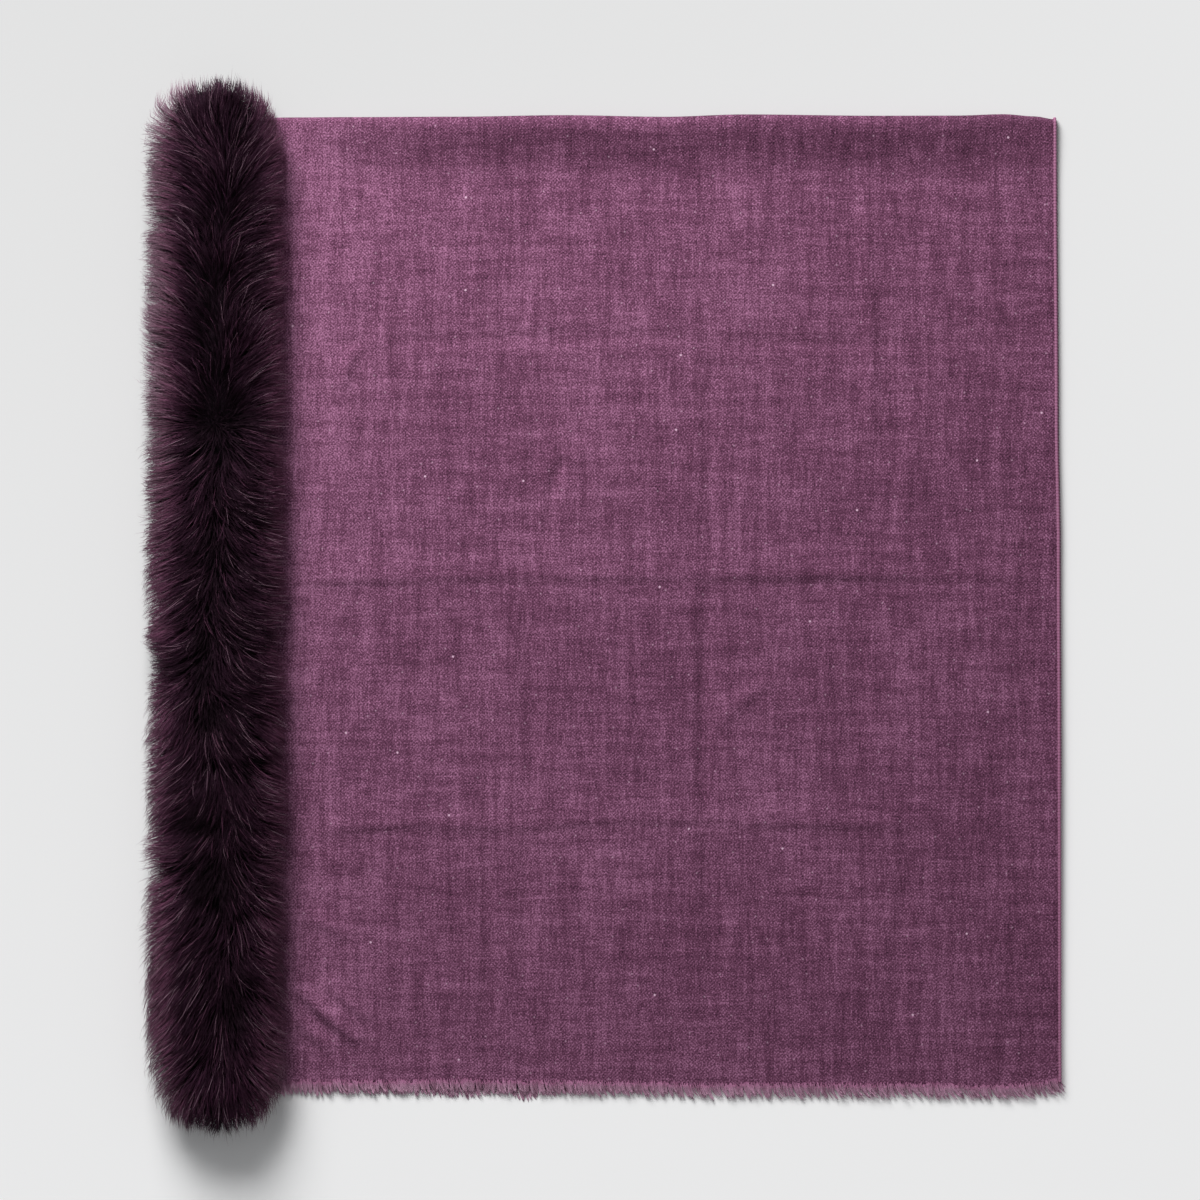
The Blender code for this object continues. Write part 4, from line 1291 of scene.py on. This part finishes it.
def fur_finish(settings):
    """Long soft hair. The map gives each hair's tone, dark to pale, and the share of the way to its
    tip, where it is lightest."""
    constants = {
        "Roughness": 0.6,
        "Specular IOR Level": 0.22,
        "Specular Tint": (*linear(240, 190, 216), 1),
    }
    finish = Finish("plum_fur", constants)
    tone, share = finish.map("hair")
    dark = np.array(settings.dark)
    stops = [
        (0.0, dark * 0.5),
        (0.2, dark),
        (0.45, settings.middle),
        (0.6, settings.plum),
        (0.72, settings.warm),
        (1.0, settings.pale),
    ]
    finish.colour(finish.mix(share**0.8, (*(dark * 0.35), 1), finish.ramp(tone, stops)))
    return finish


def tone_of_hair(near, aside, hollow, chance):
    """Tone of each hair at its place along and aside: painted light on the outer flank, less so at
    the roll's lower half, on the cloth's side and at both ends, and painted shade in the middle and
    in the hollows."""
    outer = onset(-aside, 14 * MM, 24 * MM) * (0.5 + 0.5 * onset(near, 450 * MM, -200 * MM))
    # Painted light on the outer flank, and on the cloth's side to lift the shade that the roll casts
    # there.
    tone = HAIR_TONE + chance + FLANK_PAINTED_LIGHT * outer + EDGE_PAINTED_LIGHT * onset(aside, 12 * MM, 24 * MM)
    # Painted shade along the roll's middle and in the hollows.
    tone += MIDDLE_PAINTED_SHADE * np.exp(-((aside / (26 * MM)) ** 2)) + HOLLOW_PAINTED_SHADE * hollow
    # Painted light at the lower end, which lies in shade.
    tone += LOW_END_PAINTED_LIGHT * onset(near, FUR_LENGTH - 120 * MM, 80 * MM)
    # Painted light at the top end, which faces the lamp.
    return tone + TOP_END_PAINTED_LIGHT * onset(near, 60 * MM, -50 * MM)


def make_hair(name, along, angle, finish, settings, rng):
    """One stretch of the coat: its soft hairs and its longer, paler guard hairs in one mesh."""
    kinds = ((SOFT_HAIR, settings.hairs), (GUARD_HAIR, settings.guards))
    coats = [coat_of_hair(along, angle, count, kind, settings, rng) for kind, count in kinds]
    lock_tone = rng.normal(0, LOCK_TONES, len(along))
    parts = []
    for (kind, count), (paths, radii, near, aside, hollow) in zip(kinds, coats):
        chance = rng.normal(0, HAIR_TONES, len(near)) + np.repeat(lock_tone, count)
        tone = tone_of_hair(near, aside, hollow, chance)
        if kind is GUARD_HAIR:
            bright = rng.random(len(near)) < BRIGHT_GUARDS
            paler = np.where(bright, rng.uniform(*BRIGHT_TONES, len(near)), GUARD_TONE)
            # The hollows' painted shade dims the guard hairs too.
            tone += paler * (1 - GUARD_HOLLOW_PAINTED_SHADE * hollow)
        parts.append((strands(paths, radii, STRAND_SIDES), np.clip(tone, 0.01, 0.99)))
    return make_strands(name, parts, "hair", finish)


def make_skin(settings):
    """The skin and dense underfur that the hair grows from: the roll's own form, drawn in, with
    random tufts outwards. A fan of triangles closes each end."""
    low_end = FUR_LENGTH - LOW_INSET
    middle = np.linspace(TOP_INSET + CAP_LENGTH, low_end - CAP_LENGTH, SKIN_ROWS)
    along = np.concatenate([TOP_INSET + SKIN_CAP, middle, low_end - SKIN_CAP[::-1]])
    angle = np.linspace(0, 2 * np.pi, SKIN_SIDES, endpoint=False)
    points = coat_point(along[:, None], angle, settings.inset)
    rough = TUFT_HEIGHT * wander(points[..., 1], angle * HALF_COAT, TUFT, TUFT_SEED)[..., None]
    resting = (points[..., 2] < RESTING)[..., None]
    points = points + outward(points) * np.where(resting, 0, rough)
    rows, columns = points.shape[:2]
    hubs = points[[0, -1]].mean(axis=1)
    faces = grid_faces(rows, columns, around=True).tolist()
    start, last = rows * columns, (rows - 1) * columns
    for column in range(columns):
        following = (column + 1) % columns
        faces.append([following, column, start])
        faces.append([last + column, last + following, start + 1])
    finish = Finish("underfur", {"Roughness": 0.95, "Specular IOR Level": 0.1})
    values = {"Vector": finish.place(), "Scale": 260.0, "Detail": 3.0}
    tuft = finish.node("ShaderNodeTexNoise", {}, values)
    dark = np.array(settings.dark)
    finish.colour(finish.ramp(tuft, [(0.3, dark * 0.25), (0.75, dark * 1.1)]))
    finish.bump(tuft, 0.8, 1.5 * MM)
    points = np.concatenate([points.reshape(-1, 3), hubs])
    piece = make_piece("fur_skin", points, faces, finish)
    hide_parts("fur_trim")


class WRAP_OT_fur(bpy.types.Operator):
    """Make the fur trim: its skin with the underfur, and the long hair in locks"""

    bl_idname = "wrap.fur"
    bl_label = "Make the fur"

    def execute(self, context):
        settings = context.scene.wrap_fur
        make_skin(settings)
        finish = fur_finish(settings)
        rng = np.random.default_rng(COAT_SEED)
        along, angle = scatter_locks(settings.locks, settings.inset, rng)
        for stretch, chosen in enumerate(np.array_split(np.arange(settings.locks), STRETCHES)):
            name = f"fur_hair_{stretch + 1}"
            piece = make_hair(name, along[chosen], angle[chosen], finish, settings, rng)
            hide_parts("fur_trim")
        return {"FINISHED"}


def floor_finish(settings):
    """Pale paper, graded so that it looks even: its shade is one over the light that falls on it.
    That is the fill's share, and the key light's, which falls with the cube of the distance and
    with the cosine from the way the lamp faces. Where white is too dark for it, it glows."""
    finish = Finish("pale_floor", {"Roughness": 0.95, "Specular IOR Level": 0.1})
    x, y = finish.first_two(finish.place())
    far_x, far_y = x - settings.place[0], y - settings.place[1]
    distance = (far_x * far_x + far_y * far_y + settings.place[2] ** 2) ** 0.5
    reach = settings.place.length
    facing = (reach**2 - x * settings.place[0] - y * settings.place[1]) / (distance * reach)
    lamp = (reach / distance) ** 3.0 * facing.at_least(0.0)
    light = settings.fill_share + (1 - settings.fill_share) * lamp
    finish.colour(finish.mix(settings.level / light, (*BLACK, 1), (*settings.floor, 1)))
    glow = finish.mix(settings.level - light, (*BLACK, 1), (*WHITE, 1))
    finish.feed(finish.shader.inputs["Emission Color"], glow)
    finish.shader.inputs["Emission Strength"].default_value = 1
    return finish


class WRAP_OT_stage(bpy.types.Operator):
    """Make the floor, the soft studio light and the camera that looks straight down"""

    bl_idname = "wrap.stage"
    bl_label = "Make the stage"

    def execute(self, context):
        settings = context.scene.wrap_stage
        mesh = bpy.data.meshes.new("floor")
        corners = [(x * FLOOR_HALF, y * FLOOR_HALF, 0) for x, y in FLOOR_CORNERS]
        mesh.from_pydata(corners, [], [(0, 1, 2, 3)])
        mesh.materials.append(floor_finish(settings).material)
        floor = bpy.data.objects.new("floor", mesh)
        context.scene.collection.objects.link(floor)

        world = bpy.data.worlds.new("studio")
        world.use_nodes = True
        background = world.node_tree.nodes["Background"]
        background.inputs["Color"].default_value = (*SKY, 1)
        background.inputs["Strength"].default_value = settings.fill
        context.scene.world = world
        context.scene.view_settings.view_transform = "Standard"

        lamp = bpy.data.lights.new("key", "AREA")
        lamp.shape = "SQUARE"
        lamp.size = LAMP_SIZE
        lamp.energy = settings.key
        key = bpy.data.objects.new("key", lamp)
        key.location = settings.place
        key.rotation_euler = (-key.location).to_track_quat("-Z", "Y").to_euler()
        context.scene.collection.objects.link(key)

        eye = bpy.data.cameras.new("eye")
        eye.lens = settings.height / settings.view * eye.sensor_width
        camera = bpy.data.objects.new("eye", eye)
        camera.location = (CAMERA_X, CAMERA_Y, settings.height)
        context.scene.collection.objects.link(camera)
        context.scene.camera = camera
        return {"FINISHED"}


class WRAP_PT_panel(bpy.types.Panel):
    """Lists the wrap's makers and their settings"""

    bl_label = "Fur-trimmed wrap"
    bl_idname = "WRAP_PT_panel"
    bl_space_type = "VIEW_3D"
    bl_region_type = "UI"
    bl_category = "Wrap"

    def draw(self, context):
        for operator, settings in PANEL_ROWS:
            box = self.layout.box()
            group = getattr(context.scene, settings)
            for name in group.__annotations__:
                box.prop(group, name)
            box.operator(operator)


PANEL_ROWS = (
    ("wrap.stage", "wrap_stage"),
    ("wrap.cloth", "wrap_cloth"),
    ("wrap.selvedges", "wrap_cloth"),
    ("wrap.fringes", "wrap_fringe"),
    ("wrap.fur", "wrap_fur"),
)
SETTINGS = {
    "wrap_cloth": ClothSettings,
    "wrap_fringe": FringeSettings,
    "wrap_fur": FurSettings,
    "wrap_stage": StageSettings,
}
OPERATORS = (
    WRAP_OT_stage,
    WRAP_OT_cloth,
    WRAP_OT_selvedges,
    WRAP_OT_fringes,
    WRAP_OT_fur,
)


def register():
    for name, group in SETTINGS.items():
        bpy.utils.register_class(group)
        setattr(bpy.types.Scene, name, PointerProperty(type=group))
    for kind in (*OPERATORS, WRAP_PT_panel):
        bpy.utils.register_class(kind)


def unregister():
    for kind in (WRAP_PT_panel, *reversed(OPERATORS)):
        bpy.utils.unregister_class(kind)
    for name, group in SETTINGS.items():
        delattr(bpy.types.Scene, name)
        bpy.utils.unregister_class(group)


def main():
    register()
    bpy.ops.wrap.stage()
    bpy.ops.wrap.cloth()
    bpy.ops.wrap.selvedges()
    bpy.ops.wrap.fringes()
    bpy.ops.wrap.fur()


if __name__ == "__main__":
    main()
